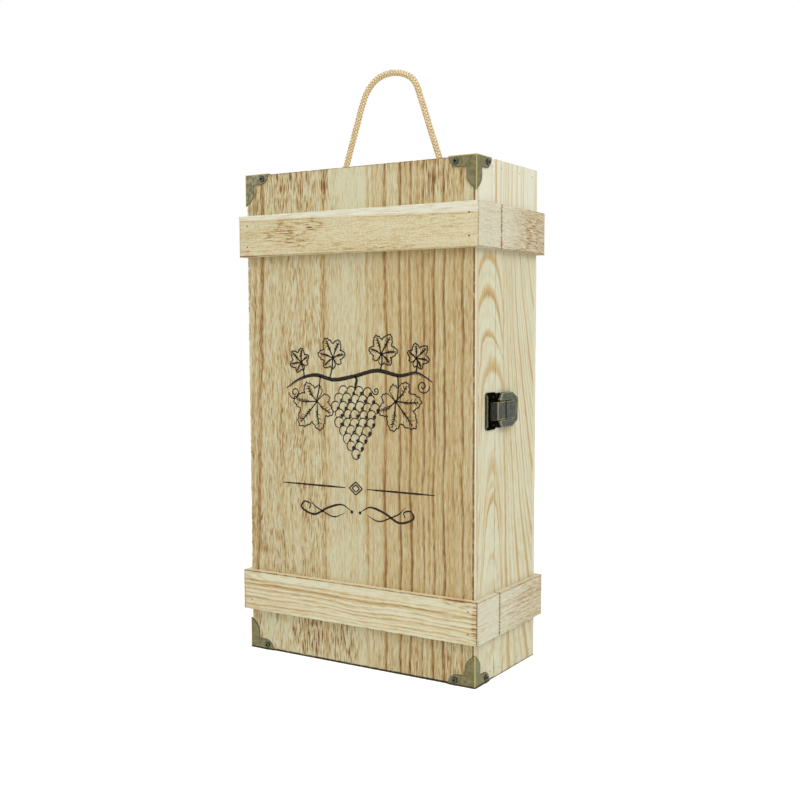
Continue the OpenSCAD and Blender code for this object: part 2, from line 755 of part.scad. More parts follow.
back_panel();
case_side(-1);  // case_side_left
case_side(1);  // case_side_right
case_top();
case_bottom();
bottle_divider();
front_panel();
lid_side(-1);  // lid_side_left
lid_side(1);  // lid_side_right
lid_end(lid_high_z - board_t);  // lid_top
lid_end(lid_low_z);  // lid_bottom
for (l = levels) {
    long_batten(-1, l[1]);
    long_batten(1, l[1]);
    hinge_leaf(l[1], 1);
    hinge_leaf(l[1], -1);
    hinge_pin(l[1]);
}
for (l = levels, s = sides) {
    side_batten(s[1], l[1], lid_back_y, front_y, -1);
    side_batten(s[1], l[1], case_front_y, half_d, 1);
}
for (g = guards) {
    corner_guard(g[1], g[2]);
}
corner_screws();
lid_brads();
case_brads();
hinge_screws(1);  // case_hinge_screws
hinge_screws(-1);  // lid_hinge_screws
latch_base();
color(dark_steel) at_latch_base_screws() screw(small_head_r, small_head_h, latch_screw_len);  // latch_base_screws
latch_pin();
latch_tongue();
latch_strike();
color(dark_steel) at_strike_screws() screw(small_head_r, small_head_h, latch_screw_len);  // strike_screws
rope_handle();
rope_end(-rope_x);  // rope_end_left
rope_end(rope_x);  // rope_end_right
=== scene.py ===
import json
import math
import random

import bmesh
import bpy
import numpy as np
from mathutils import Matrix, Vector, noise


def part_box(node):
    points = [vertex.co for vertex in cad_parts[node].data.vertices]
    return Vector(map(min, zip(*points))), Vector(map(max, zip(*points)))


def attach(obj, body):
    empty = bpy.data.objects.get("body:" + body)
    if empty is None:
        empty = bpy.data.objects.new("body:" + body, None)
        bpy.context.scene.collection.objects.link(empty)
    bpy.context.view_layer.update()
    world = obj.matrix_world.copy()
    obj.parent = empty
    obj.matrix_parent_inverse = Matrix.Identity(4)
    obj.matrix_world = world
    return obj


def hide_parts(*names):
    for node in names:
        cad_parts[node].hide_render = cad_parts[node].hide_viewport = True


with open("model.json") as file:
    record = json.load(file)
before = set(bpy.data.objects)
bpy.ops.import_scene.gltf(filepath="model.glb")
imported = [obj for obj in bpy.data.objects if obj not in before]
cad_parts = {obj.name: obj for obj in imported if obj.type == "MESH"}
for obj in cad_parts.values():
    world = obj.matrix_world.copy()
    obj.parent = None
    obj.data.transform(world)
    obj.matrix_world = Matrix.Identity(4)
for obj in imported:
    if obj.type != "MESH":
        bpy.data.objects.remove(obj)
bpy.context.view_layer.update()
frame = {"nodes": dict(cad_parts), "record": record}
cadNodes = frame["nodes"]
bodies = frame["record"]["behaviour"]["bodies"]
bodyOfNode = {node: body for body, names in bodies.items() for node in names}
slotOfNode = {part["node"]: part["material_slot"] for part in frame["record"]["subparts"]}
millimetre = 0.001
print("frame loaded with", len(cadNodes), "nodes")

# places on the box that several materials name, in millimetres
box = {
    "frontY": -46.0,
    "seamY": -18.0,            # the cut between lid and case
    "sideX": 94.5,             # outer face of the side boards
    "topZ": 350.0,
    "latchZ": 183.5,           # middle of the latch
}


# small helpers for colours, shader numbers, nodes and meshes

def rgb(red, green, blue):
    # a colour as it looks on screen, turned into the linear one that the shaders take
    linear = []
    for part in (red, green, blue):
        share = part / 255
        linear.append(share / 12.92 if share <= 0.04045 else ((share + 0.055) / 1.055) ** 2.4)
    return (*linear, 1.0)


class Value:
    # the result of a node, which adds and multiplies like a plain number
    def __init__(self, socket):
        self.socket = socket
        self.tree = socket.id_data

    def __add__(self, other):
        return maths("ADD", self, other)

    def __sub__(self, other):
        return maths("SUBTRACT", self, other)

    def __rsub__(self, other):
        return maths("SUBTRACT", other, self)

    def __mul__(self, other):
        return maths("MULTIPLY", self, other)

    def __truediv__(self, other):
        return maths("DIVIDE", self, other)

    def __pow__(self, other):
        return maths("POWER", self, other)

    def __abs__(self):
        return maths("ABSOLUTE", self)

    def clamped(self):
        self.socket.node.use_clamp = True
        return self

    __radd__, __rmul__ = __add__, __mul__


def treeOf(values):
    return next(value.tree for value in values if isinstance(value, Value))


def feed(node, inputs):
    for name, value in inputs.items():
        if isinstance(value, Value):
            value = value.socket
        if isinstance(value, bpy.types.NodeSocket):
            value.id_data.links.new(value, node.inputs[name])
        else:
            node.inputs[name].default_value = value


def addNode(tree, kind, inputs=None, **settings):
    made = tree.nodes.new(kind)
    for name, value in settings.items():
        setattr(made, name, value)
    feed(made, inputs or {})
    return made


def result(tree, kind, inputs=None, output=0, **settings):
    return Value(addNode(tree, kind, inputs, **settings).outputs[output])


def maths(operation, *values):
    return result(treeOf(values), "ShaderNodeMath", dict(enumerate(values)), operation=operation)


def larger(first, *others):
    for other in others:
        first = maths("MAXIMUM", first, other)
    return first


def smaller(first, second):
    return maths("MINIMUM", first, second)


def remap(value, fromLow, fromHigh, toLow=0.0, toHigh=1.0, smooth=True):
    return result(
        value.tree, "ShaderNodeMapRange",
        {"Value": value, "From Min": fromLow, "From Max": fromHigh,
         "To Min": toLow, "To Max": toHigh},
        interpolation_type="SMOOTHSTEP" if smooth else "LINEAR")


def nearTo(value, place, far, close, toLow=0.0, toHigh=1.0):
    return remap(abs(value - place), far, close, toLow, toHigh)


def mixColour(factor, first, second):
    inputs = {0: factor, 6: first, 7: second}
    return result(factor.tree, "ShaderNodeMix", inputs, 2, data_type="RGBA")


def combine(*parts):
    return result(treeOf(parts), "ShaderNodeCombineXYZ", dict(enumerate(parts)))


def splitVector(vector):
    made = addNode(vector.tree, "ShaderNodeSeparateXYZ", {0: vector})
    return [Value(part) for part in made.outputs]


def softNoise(place, scale=1.0, detail=2.0, roughness=0.5):
    vector = combine(*place)
    return result(vector.tree, "ShaderNodeTexNoise", {
        "Vector": vector, "Scale": scale, "Detail": detail, "Roughness": roughness})


def attribute(tree, name, output="Fac"):
    return result(tree, "ShaderNodeAttribute", output=output, attribute_name=name)


def bumpFrom(height, strength, distance):
    return result(height.tree, "ShaderNodeBump", {
        "Strength": strength, "Distance": distance, "Height": height})


def objectMillimetres(tree):
    # where a point is on the whole object, in millimetres
    place = result(tree, "ShaderNodeTexCoord", output="Object")
    sizes = {0: place, 1: (1000, 1000, 1000)}
    return splitVector(result(tree, "ShaderNodeVectorMath", sizes, operation="MULTIPLY"))


def outputsOf(node):
    return {socket.name: Value(socket) for socket in node.outputs}


def addInputs(tree, kind, labels):
    for label in labels:
        tree.interface.new_socket(label, in_out="INPUT", socket_type="NodeSocket" + kind)


def startGroup(name, numbers=(), colours=()):
    # a shared effect with named inputs
    tree = bpy.data.node_groups.new(name, "ShaderNodeTree")
    addInputs(tree, "Float", numbers)
    addInputs(tree, "Color", colours)
    return tree, outputsOf(tree.nodes.new("NodeGroupInput"))


def endGroup(tree, results):
    for label, value in results.items():
        kind = "NodeSocketColor" if value.socket.type == "RGBA" else "NodeSocketFloat"
        tree.interface.new_socket(label, in_out="OUTPUT", socket_type=kind)
    feed(tree.nodes.new("NodeGroupOutput"), results)
    return tree


def useGroup(tree, group, inputs=None):
    return outputsOf(addNode(tree, "ShaderNodeGroup", inputs, node_tree=group))


def newMaterial(name):
    material = bpy.data.materials.new(name)
    material.use_nodes = True
    tree = material.node_tree
    return material, tree, tree.nodes["Principled BSDF"]


def placedMaterial(name):
    # a new material with the place on the object that its shader starts from
    material, tree, shader = newMaterial(name)
    return material, tree, shader, *objectMillimetres(tree)


def meshOf(bm, name):
    mesh = bpy.data.meshes.new(name)
    bm.to_mesh(mesh)
    bm.free()
    return mesh


def newObject(name, data):
    made = bpy.data.objects.new(name, data)
    bpy.context.scene.collection.objects.link(made)
    return made


def addPiece(name, mesh, material, body, nodes=()):
    piece = newObject(name, mesh)
    mesh.materials.clear()
    mesh.materials.append(material)
    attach(piece, body)
    if nodes:
        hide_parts(*nodes)
    return piece


def addCopy(node, ending, mesh, material):
    # a piece that stands for one CAD node
    return addPiece(node + ending, mesh, material, bodyOfNode[node], [node])


# camera, fitted to the photograph's corners

cameraPlace = {
    "lens": 49.648,
    "sensor": 36.0,
    "shiftUp": 0.0243,
    "stands": (0.43128, -0.68017, 0.23844),
    "looks": (-0.52662, 0.84615, -0.08186),
    "up": (-0.04143, 0.07063, 0.99664),
}


def makeCamera(spec):
    data = bpy.data.cameras.new("camera")
    data.lens = spec["lens"]
    data.sensor_width = spec["sensor"]
    data.shift_y = spec["shiftUp"]
    camera = newObject("camera", data)
    looks = Vector(spec["looks"]).normalized()
    right = looks.cross(Vector(spec["up"])).normalized()
    up = right.cross(looks)
    turn = Matrix((right, up, -looks)).transposed().to_4x4()
    camera.matrix_world = Matrix.Translation(spec["stands"]) @ turn
    bpy.context.scene.camera = camera


makeCamera(cameraPlace)


# rope: a braid of eight flat strands along the route of the free arch

rope = {
    "diameter": 0.004,
    "depthAt": 0.002,          # y of both holes
    "topBoard": 0.350,         # z of the top board's upper face
    "underBoard": 0.342,       # z of its underside
    "carriers": 4,             # strands that wind each way
    "pitch": 0.0094,
    "strandWide": 0.00082,
    "strandThick": 0.00056,
    "braidRadius": 0.00146,
    "weave": 0.00026,          # how far a strand rises over the next one
    "core": 0.0012,
    "coreSides": 10,
    "step": 0.00036,
    "sides": 8,
    "taper": 0.0016,           # length over which the strands thin out at each end
    "fuzz": 2300,
    "knotScale": 0.00118,
    "knotDrop": 3.1,           # how far the knot's middle hangs under the board, in knot scales
    "knotSteps": (22, 72, 13.2),   # points round the knot, first angle and angle between them
    "endSunk": 0.0023,         # the ends begin this far inside the hole
    "endStep": 1.3,
    "endTaper": 0.001,
    "endShare": 0.86,          # thickness of the knotted ends against the arch
    "endFuzz": 120,
    # shade, fibre and bright run from painted shade under the crossings to painted highlight over
    # them; stain is the rope's own
    "shade": rgb(124, 92, 50),
    "fibre": rgb(212, 184, 132),
    "bright": rgb(250, 241, 210),
    "stain": rgb(204, 170, 114),
}
ropeFuzz = {
    "seed": 5,
    "tufted": 0.75,            # share of the fibres that stand in tufts
    "tuftSpread": 0.6,
    "looseSpread": 1.2,
    "tuftReach": (0.0008, 0.0017),
    "looseReach": (0.0004, 0.001),
    "root": 0.0017,            # distance of the roots from the rope's middle
    "thick": 0.00016,
}
# the route, given as x and height over the top board in millimetres
ropeRoute = [
    (-42, 0), (-41.3, 3), (-39.2, 8.5), (-36.2, 17.5), (-33, 27), (-29.8, 36.5), (-26.8, 45.5),
    (-24, 53), (-20.5, 60), (-15.5, 65.5), (-9, 69.2), (-2, 70.6), (5, 70.3), (11.8, 68.4),
    (17.3, 65), (21, 60), (23.6, 53.2), (26.8, 44.5), (30.2, 34.5), (33.6, 24.8), (36.8, 16),
    (39.4, 8.5), (41.2, 3), (42, 0),
]
ropePath = [
    Vector((x * millimetre, rope["depthAt"], rope["topBoard"] + z * millimetre))
    for x, z in ropeRoute
]
ropeLength = sum((b - a).length for a, b in zip(ropePath, ropePath[1:]))


def smoothLine(points, step):
    # Catmull-Rom through the points, then spaced evenly
    padded = [2 * points[0] - points[1]] + list(points) + [2 * points[-1] - points[-2]]
    fine = []
    for i in range(1, len(padded) - 2):
        a, b, c, d = padded[i - 1:i + 3]
        for k in range(12):
            t = k / 12
            fine.append(0.5 * (2 * b + (c - a) * t + (2 * a - 5 * b + 4 * c - d) * t * t
                               + (3 * b - a - 3 * c + d) * t ** 3))
    fine.append(points[-1])
    total = sum((q - p).length for p, q in zip(fine, fine[1:]))
    count = max(2, round(total / step))
    even, walked, target = [fine[0]], 0.0, total / count
    for p, q in zip(fine, fine[1:]):
        reach = (q - p).length
        while walked + reach >= target - 1e-12 and len(even) < count:
            even.append(p + (q - p) * ((target - walked) / reach))
            target += total / count
        walked += reach
    even.append(fine[-1])
    return even


def lineFrames(line, across):
    # a frame at each point that doesn't twist: way along, and two directions across it
    frames = []
    side = Vector(across)
    for i, p in enumerate(line):
        way = (line[min(i + 1, len(line) - 1)] - line[max(i - 1, 0)]).normalized()
        side = (side - way * side.dot(way)).normalized()
        frames.append((p, way, side, way.cross(side)))
    return frames


def sweepTube(bm, rings, sides, layers):
    # rings of (centre, across, outward, wide, thick, shade) joined into a closed tube
    uvLayer, shadeLayer = layers
    made = []
    for centre, across, outward, wide, thick, shade in rings:
        ring = []
        for k in range(sides):
            turn = 2 * math.pi * k / sides
            aside, out = wide * math.cos(turn), thick * math.sin(turn)
            vert = bm.verts.new(centre + across * aside + outward * out)
            vert[shadeLayer] = shade
            ring.append(vert)
        made.append(ring)
    for i in range(len(made) - 1):
        for k in range(sides):
            n = (k + 1) % sides
            face = bm.faces.new((made[i][k], made[i][n], made[i + 1][n], made[i + 1][k]))
            face.smooth = True
            for loop, (a, b) in zip(face.loops, ((i, k), (i, k + 1), (i + 1, k + 1), (i + 1, k))):
                loop[uvLayer].uv = (a * 0.05, b / sides)
    bm.faces.new(made[0][::-1])
    bm.faces.new(made[-1])


def braidStrand(frames, spacing, spec, direction, turnAt, taper, share):
    # one strand's rings: over and under the ones that wind the other way, with a shade value that
    # gives painted shade where it goes under and painted highlight where it goes over
    total = spacing * (len(frames) - 1)
    omega = 2 * math.pi / spec["pitch"]
    rings = []
    for i, (p, way, side, other) in enumerate(frames):
        s = i * spacing
        over = direction * math.cos(spec["carriers"] * omega * s)
        size = min(1.0, 0.5 + 0.5 * min(s, total - s) / taper)
        radius = (spec["braidRadius"] + spec["weave"] * over) * size * share
        turn = direction * omega * s + turnAt
        outward = side * math.cos(turn) + other * math.sin(turn)
        around = way.cross(outward)
        along = (way + around * (direction * omega * radius)).normalized()
        across = outward.cross(along).normalized()
        rings.append((p + outward * radius, across, outward, spec["strandWide"] * size * share,
                      spec["strandThick"] * size * share, 0.5 + 0.5 * over))
    return rings


def fuzzFibres(bm, frames, spacing, spec, layers, count):
    # short loose fibres, most of them in tufts along the stitches of the arch's outer side
    dice = random.Random(ropeFuzz["seed"])
    middle = sum((f[0] for f in frames), Vector()) / len(frames)
    stitch = spec["pitch"] / spec["carriers"] / spacing
    for k in range(count):
        i = dice.uniform(2, len(frames) - 3)
        tufted = dice.random() < ropeFuzz["tufted"]
        if tufted:
            i = round(round(i / stitch) * stitch + dice.uniform(-0.7, 0.7))
            i = min(len(frames) - 3, max(2, i))
        p, way = frames[int(i)][:2]
        away = p - middle
        away = (away - way * away.dot(way)).normalized()
        turn = dice.gauss(0, ropeFuzz["tuftSpread" if tufted else "looseSpread"])
        outward = (away * math.cos(turn) + way.cross(away) * math.sin(turn)).normalized()
        around = way.cross(outward)
        reach = dice.uniform(*ropeFuzz["tuftReach" if tufted else "looseReach"])
        up = 1.0 if way.z > 0 else -1.0
        lean = way * (up * dice.uniform(0.2, 0.9)) + around * dice.uniform(-0.3, 0.3)
        rings = []
        for j in range(4):
            t = j / 3
            bend = (outward * (0.9 - 0.35 * t) + lean * (0.5 + 0.5 * t)) * (reach * t)
            thin = ropeFuzz["thick"] * (1.15 - t)
            rings.append((p + outward * ropeFuzz["root"] + bend, around, way, thin, thin, 0.5))
        sweepTube(bm, rings, 3, layers)


def braidMesh(name, line, spec, taper, share, fuzz):
    bm = bmesh.new()
    layers = (bm.loops.layers.uv.new("fibre"), bm.verts.layers.float.new("over"))
    frames = lineFrames(line, (0, 1, 0))
    spacing = (line[1] - line[0]).length
    for direction in (1, -1):
        for strand in range(spec["carriers"]):
            turnAt = 2 * math.pi * strand / spec["carriers"]
            sweepTube(bm, braidStrand(frames, spacing, spec, direction, turnAt, taper, share),
                      spec["sides"], layers)
    core = spec["core"] * share
    # the core takes the darkest painted shade, where it shows between the strands
    sweepTube(bm, [(p, side, other, core, core, 0.0) for p, way, side, other in frames[2:-2]],
              spec["coreSides"], layers)
    fuzzFibres(bm, frames, spacing, spec, layers, fuzz)
    bmesh.ops.recalc_face_normals(bm, faces=bm.faces)
    return meshOf(bm, name)


def ropeMaterial(spec):
    material, tree, shader, x, y, z = placedMaterial("rope_fibre")
    along, around = splitVector(result(tree, "ShaderNodeUVMap", uv_map="fibre"))[:2]
    fine = softNoise((along * 6.0, around * 9.0, z * 0.6), 1.6, 3.0, 0.6)
    # painted shade where a strand dips under the others and painted highlight where it crosses
    # over, with the fibres' own unevenness
    tone = (attribute(tree, "over") * 0.72 - 0.08 + remap(fine, 0.3, 0.72, 0.0, 0.42)).clamped()
    colour = mixColour((tone * 1.6).clamped(), spec["shade"], spec["fibre"])
    colour = mixColour(remap(tone, 0.55, 1.0), colour, spec["bright"])
    stained = remap(softNoise((x, y, z), 0.2), 0.45, 0.75, 0.0, 0.35)
    colour = mixColour(stained, colour, spec["stain"])
    feed(shader, {
        "Base Color": colour, "Normal": bumpFrom(fine, 0.6, 0.0002), "Roughness": 0.85,
        "Specular IOR Level": 0.2, "Sheen Weight": 0.2})
    return material


ropeFibre = ropeMaterial(rope)
ropeLine = smoothLine(ropePath, rope["step"])
ropeMesh = braidMesh("rope_arch", ropeLine, rope, rope["taper"], 1.0, rope["fuzz"])
ropePiece = addPiece("rope_arch", ropeMesh, ropeFibre, "rope_handle", ["rope_handle"])


def knotLine(spec, x):
    # the rope in its hole, then an overhand knot under the board and a short tail
    y = spec["depthAt"]
    middle = Vector((x, y, spec["underBoard"] - spec["knotDrop"] * spec["knotScale"]))
    points = [Vector((x, y, z)) for z in (
        spec["topBoard"] - spec["endSunk"], spec["underBoard"] + 0.0035, spec["underBoard"])]
    count, first, between = spec["knotSteps"]
    for k in range(count):
        t = math.radians(first + between * k)
        flat = Vector((
            math.sin(t) + 2 * math.sin(2 * t), math.cos(t) - 2 * math.cos(2 * t),
            -1.5 * math.sin(3 * t)))
        points.append(middle + flat * spec["knotScale"])
    return points


def ropeEnds(spec):
    for name, x in (("left", ropePath[0].x), ("right", -ropePath[0].x)):
        line = smoothLine(knotLine(spec, x), spec["step"] * spec["endStep"])
        piece = "rope_end_" + name + "_braid"
        mesh = braidMesh(piece, line, spec, spec["endTaper"], spec["endShare"], spec["endFuzz"])
        addPiece(piece, mesh, ropeFibre, "case", ["rope_end_" + name])


ropeEnds(rope)
print("rope braided, route", round(ropeLength, 4), "m")


# wood: copies of the boards with worn arrises, and one grain shared by every wood material

woodShape = {
    "arris": 0.00035,
    "wearLow": 0.7,            # least and most inset of a worn arris, in shares of its bevel
    "wearHigh": 3.0,
    "wearPower": 1.3,
    "wearScales": (55, 190),   # coarse and fine unevenness, per metre
    "cutEvery": 0.006,
    "shortEdge": 0.003,
    "sharpAngle": 0.5,
}


def mergedCopy(node):
    bm = bmesh.new()
    bm.from_mesh(cadNodes[node].data)
    bmesh.ops.remove_doubles(bm, verts=bm.verts, dist=1e-6)
    return bm


def sharpCopy(node, longest):
    # a node's mesh without its flat edges, and the edges that are to be bevelled
    bm = mergedCopy(node)
    bmesh.ops.dissolve_limit(bm, angle_limit=math.radians(1), verts=bm.verts, edges=bm.edges)
    edges = [e for e in bm.edges if len(e.link_faces) == 2 and e.calc_length() > longest
             and e.calc_face_angle(0) > woodShape["sharpAngle"]]
    return bm, edges


def bevelEdges(bm, edges, offset):
    bmesh.ops.bevel(bm, geom=edges, offset=offset, segments=2, profile=0.5, affect="EDGES",
                    clamp_overlap=True)


def cutAlong(bm, low, high, axis, every):
    # even cuts across a piece, so that attributes can vary along it
    way = Vector([float(k == axis) for k in range(3)])
    for i in range(1, int((high - low)[axis] / every)):
        bmesh.ops.bisect_plane(bm, geom=bm.verts[:] + bm.edges[:] + bm.faces[:],
                               plane_co=low + way * (i * every), plane_no=way)


def longAxis(size):
    return max(range(3), key=lambda k: size[k])


def wearArrises(bm, low, high, spec, seed):
    # the inset of each bevel vertex grows and shrinks along the arris
    coarse, fine = spec["wearScales"]
    least, most = spec["wearLow"], spec["wearHigh"]
    for vert in bm.verts:
        share = noise.noise(vert.co * coarse + Vector((seed, 2 * seed, 0)))
        share += 0.6 * noise.noise(vert.co * fine)
        grow = least + (most - least) * min(1, max(0, share)) ** spec["wearPower"]
        for axis in range(3):
            for edge, sign in ((low[axis], 1), (high[axis], -1)):
                inset = (vert.co[axis] - edge) * sign
                if 1e-6 < inset < 1.1 * spec["arris"]:
                    vert.co[axis] = edge + sign * inset * grow


def markExtents(mesh, low, high):
    # distances to the piece's own faces, which a shader reads to find its arrises
    for name, corner, sign in (("fromLow", low, 1), ("fromHigh", high, -1)):
        layer = mesh.attributes.new(name, "FLOAT_VECTOR", "POINT")
        for i, vert in enumerate(mesh.vertices):
            layer.data[i].vector = (vert.co - corner) * sign


def woodPiece(node, material, seed):
    low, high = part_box(node)
    bm, edges = sharpCopy(node, woodShape["shortEdge"])
    bevelEdges(bm, edges, woodShape["arris"])
    cutAlong(bm, low, high, longAxis(high - low), woodShape["cutEvery"])
    wearArrises(bm, low, high, woodShape, seed)
    mesh = meshOf(bm, node + "_wood")
    markExtents(mesh, low, high)
    seeds = mesh.attributes.new("seed", "FLOAT", "POINT")
    seeds.data.foreach_set("value", [seed] * len(mesh.vertices))
    addCopy(node, "_wood", mesh, material)


def arrisGroup():
    # distance in millimetres from a point on a board to its nearest arris
    tree = startGroup("arrisDistance")[0]
    ends = {0: attribute(tree, "fromLow", "Vector"), 1: attribute(tree, "fromHigh", "Vector")}
    a, b, c = splitVector(result(tree, "ShaderNodeVectorMath", ends, operation="MINIMUM"))
    return endGroup(tree, {"Distance": larger(smaller(a, b), smaller(larger(a, b), c)) * 1000.0})


def grainGroup():
    # brushed and scorched softwood: fibres, flecks and soft patches round the given growth lines
    tree, given = startGroup(
        "woodGrain",
        ("Across", "Along", "Depth", "Lines", "Burn", "Fleck", "Fibre", "Band", "Patch", "Wave",
         "Base"),
        ("Pale", "Middle", "Dark"))
    across, depth = given["Across"], given["Depth"]
    along = given["Along"] + attribute(tree, "seed") * 431.0
    wiggle = softNoise((across * 0.11, along * 0.055, depth * 0.11), 1.0, 1.0) * 3.0 - 1.5
    flow = softNoise((across * 0.035, along * 0.017, depth * 0.035), 1.0, 1.0) * 14.0 - 7.0
    across = across + (wiggle + flow) * given["Wave"]

    def streaks(wide, long, detail=1.0, rough=0.5):
        place = (across * (1 / wide), along * (1 / long), depth * (1 / wide))
        return remap(softNoise(place, 1.0, detail, rough), 0.3, 0.7, smooth=False)
    fibres = streaks(0.45, 7.0, 2.0, 0.6)
    bands = streaks(3.0, 120.0)
    flecks = remap(streaks(0.85, 10.0), 0.45, 0.78)
    shortFlecks = remap(streaks(0.62, 5.0), 0.48, 0.78)
    patches = remap(softNoise((across * 0.075, along * 0.032, depth * 0.075)), 0.36, 0.66)
    lines = given["Lines"] * remap(streaks(3.0, 40.0), 0.1, 0.5, 0.6, 1.0)
    patched = 1.0 - given["Patch"] + patches * (given["Patch"] * 1.6)
    marks = (flecks * 0.7 + shortFlecks * 0.4) * patched
    tone = given["Base"] + (bands - 0.5) * given["Band"] + (fibres - 0.5) * given["Fibre"]
    tone = tone + marks * given["Fleck"] + lines + given["Burn"] * (flecks * 0.9 + fibres * 0.5)
    tone = tone.clamped()
    light = mixColour((tone * 2.0).clamped(), given["Pale"], given["Middle"])
    colour = mixColour((tone * 2.0 - 1.0).clamped(), light, given["Dark"])
    height = fibres * 0.6 + lines * 0.5 - marks * 0.3
    return endGroup(tree, {"Colour": colour, "Height": height, "Tone": tone})


arrisDistance = arrisGroup()
woodGrain = grainGroup()


def runOf(coordinate, points):
    # a number that runs straight between the given (place, value) points
    low, high = points[0][0], points[-1][0]
    share = remap(coordinate, low, high, smooth=False)
    made = addNode(coordinate.tree, "ShaderNodeFloatCurve", {"Value": share})
    curve = made.mapping.curves[0]
    made.mapping.use_clip = False
    while len(curve.points) < len(points):
        curve.points.new(0.5, 0.0)
    last = -1.0
    for point, (x, value) in zip(curve.points, points):
        last = min(1.0, max(last + 1e-5, (x - low) / (high - low)))
        point.location = (last, value)
        point.handle_type = "VECTOR"
    made.mapping.update()
    return Value(made.outputs[0])


def growthLines(coordinate, low, high, lines, softSide=-1):
    # dark where the coordinate meets each line: (place, width, strength), soft on one side
    points = [(low, 0.0)]
    for place, width, strength in lines:
        points += sorted([
            (place + softSide * width, 0.0), (place + softSide * 0.3 * width, 0.85 * strength),
            (place, strength), (place - softSide * 0.35 * width, 0.0)])
    return runOf(coordinate, points + [(high, 0.0)])


def softSpots(across, along, spots):
    # the most of several soft round marks: (across, along, half width, half height, strength)
    most = 0.0
    for place, level, wide, tall, strength in spots:
        a, b = (across - place) / wide, (along - level) / tall
        most = larger(most, remap(a * a + b * b, 1.0, 0.15, 0.0, strength))
    return most


def raggedArris(x, y, z, reach):
    # a mask along the arrises whose inner edge wanders
    ragged = softNoise((x * 0.22, y * 0.22, z * 0.22), 1.0, 3.0, 0.6)
    edge = useGroup(x.tree, arrisDistance)["Distance"]
    return remap(edge + ragged * (2 * reach), 1.7 * reach, 0.8 * reach), ragged


def seamMasks(y, far, close):
    # the saw cut between lid and case, and the scorched wood beside it
    sawn = nearTo(y, box["seamY"], 0.34, 0.24)
    return sawn, nearTo(y, box["seamY"], far, close) * (1.0 - sawn * 0.9)


def finishWood(shader, grain, marks):
    # marks are masks with the colour that each one lays over the grain
    colour = grain["Colour"]
    for mask, shade in marks:
        colour = mixColour(mask, colour, shade)
    feed(shader, {
        "Base Color": colour, "Roughness": remap(grain["Tone"], 0.0, 1.0, 0.8, 0.6),
        "Normal": bumpFrom(grain["Height"], 0.4, 0.00025), "Specular IOR Level": 0.25})


frontGrain = {
    # growth lines on the front: place across the board, width and strength, in millimetres
    "left": [(-93, 2, .2), (-86.8, 3.4, .26), (-80.6, 4.4, .52), (-71.5, 2, .1), (-63, 4, .14),
             (-56, 2, .1), (-44.6, 4, .2), (-38.6, 2, .12), (-25.6, 4.4, .36), (-22, 2, .12),
             (-17, 1.5, .1)],
    "right": [(1.5, 3, .08), (10.3, 2.6, .34), (14.8, 1.6, .2), (25.4, 2.9, .66), (31, 2, .1),
              (37.3, 2.6, .7), (42.2, 4, .2), (45.6, 3.2, .72), (51.4, 5, .22), (55.4, 2.6, .5),
              (59.8, 1.8, .34), (63.6, 2.4, .74), (67, 1.4, .16), (71.6, 2.4, .7), (75, 1.4, .16),
              (79.2, 2.4, .26), (85.6, 2.4, .56), (90.8, 1.6, .2)],
    # soft spots: place across and up the board, half width, half height and strength
    "scorched": [(-52, 352, 25, 22, .3), (-25.5, 352, 5, 34, .5), (62, 346, 9, 26, .45),
                 (78, 338, 16, 20, .25), (34, 354, 24, 12, .26), (-88, 330, 7, 22, .12),
                 (-86, 14, 5, 16, .36), (-43, 16, 20, 18, .62), (-34, 24, 5, 24, .5),
                 (-12, 14, 18, 22, .5), (28, 6, 20, 12, .1), (64, 8, 26, 14, .12)],
    "bleached": [(-4, 338, 19, 22, .1), (-69, 14, 13, 16, .12), (-20, 6, 12, 10, .06),
                 (20, 78, 90, 26, .05)],
    "tones": {"Pale": rgb(207, 203, 170), "Middle": rgb(184, 156, 104), "Dark": rgb(122, 86, 46)},
    "lit": rgb(224, 219, 196),
    "worn": rgb(228, 220, 188),
    "wornTop": rgb(232, 222, 190),
    "burnt": rgb(116, 80, 44),
    # painted contact shadow over the burnt lower arris
    "foot": rgb(62, 54, 34),
}


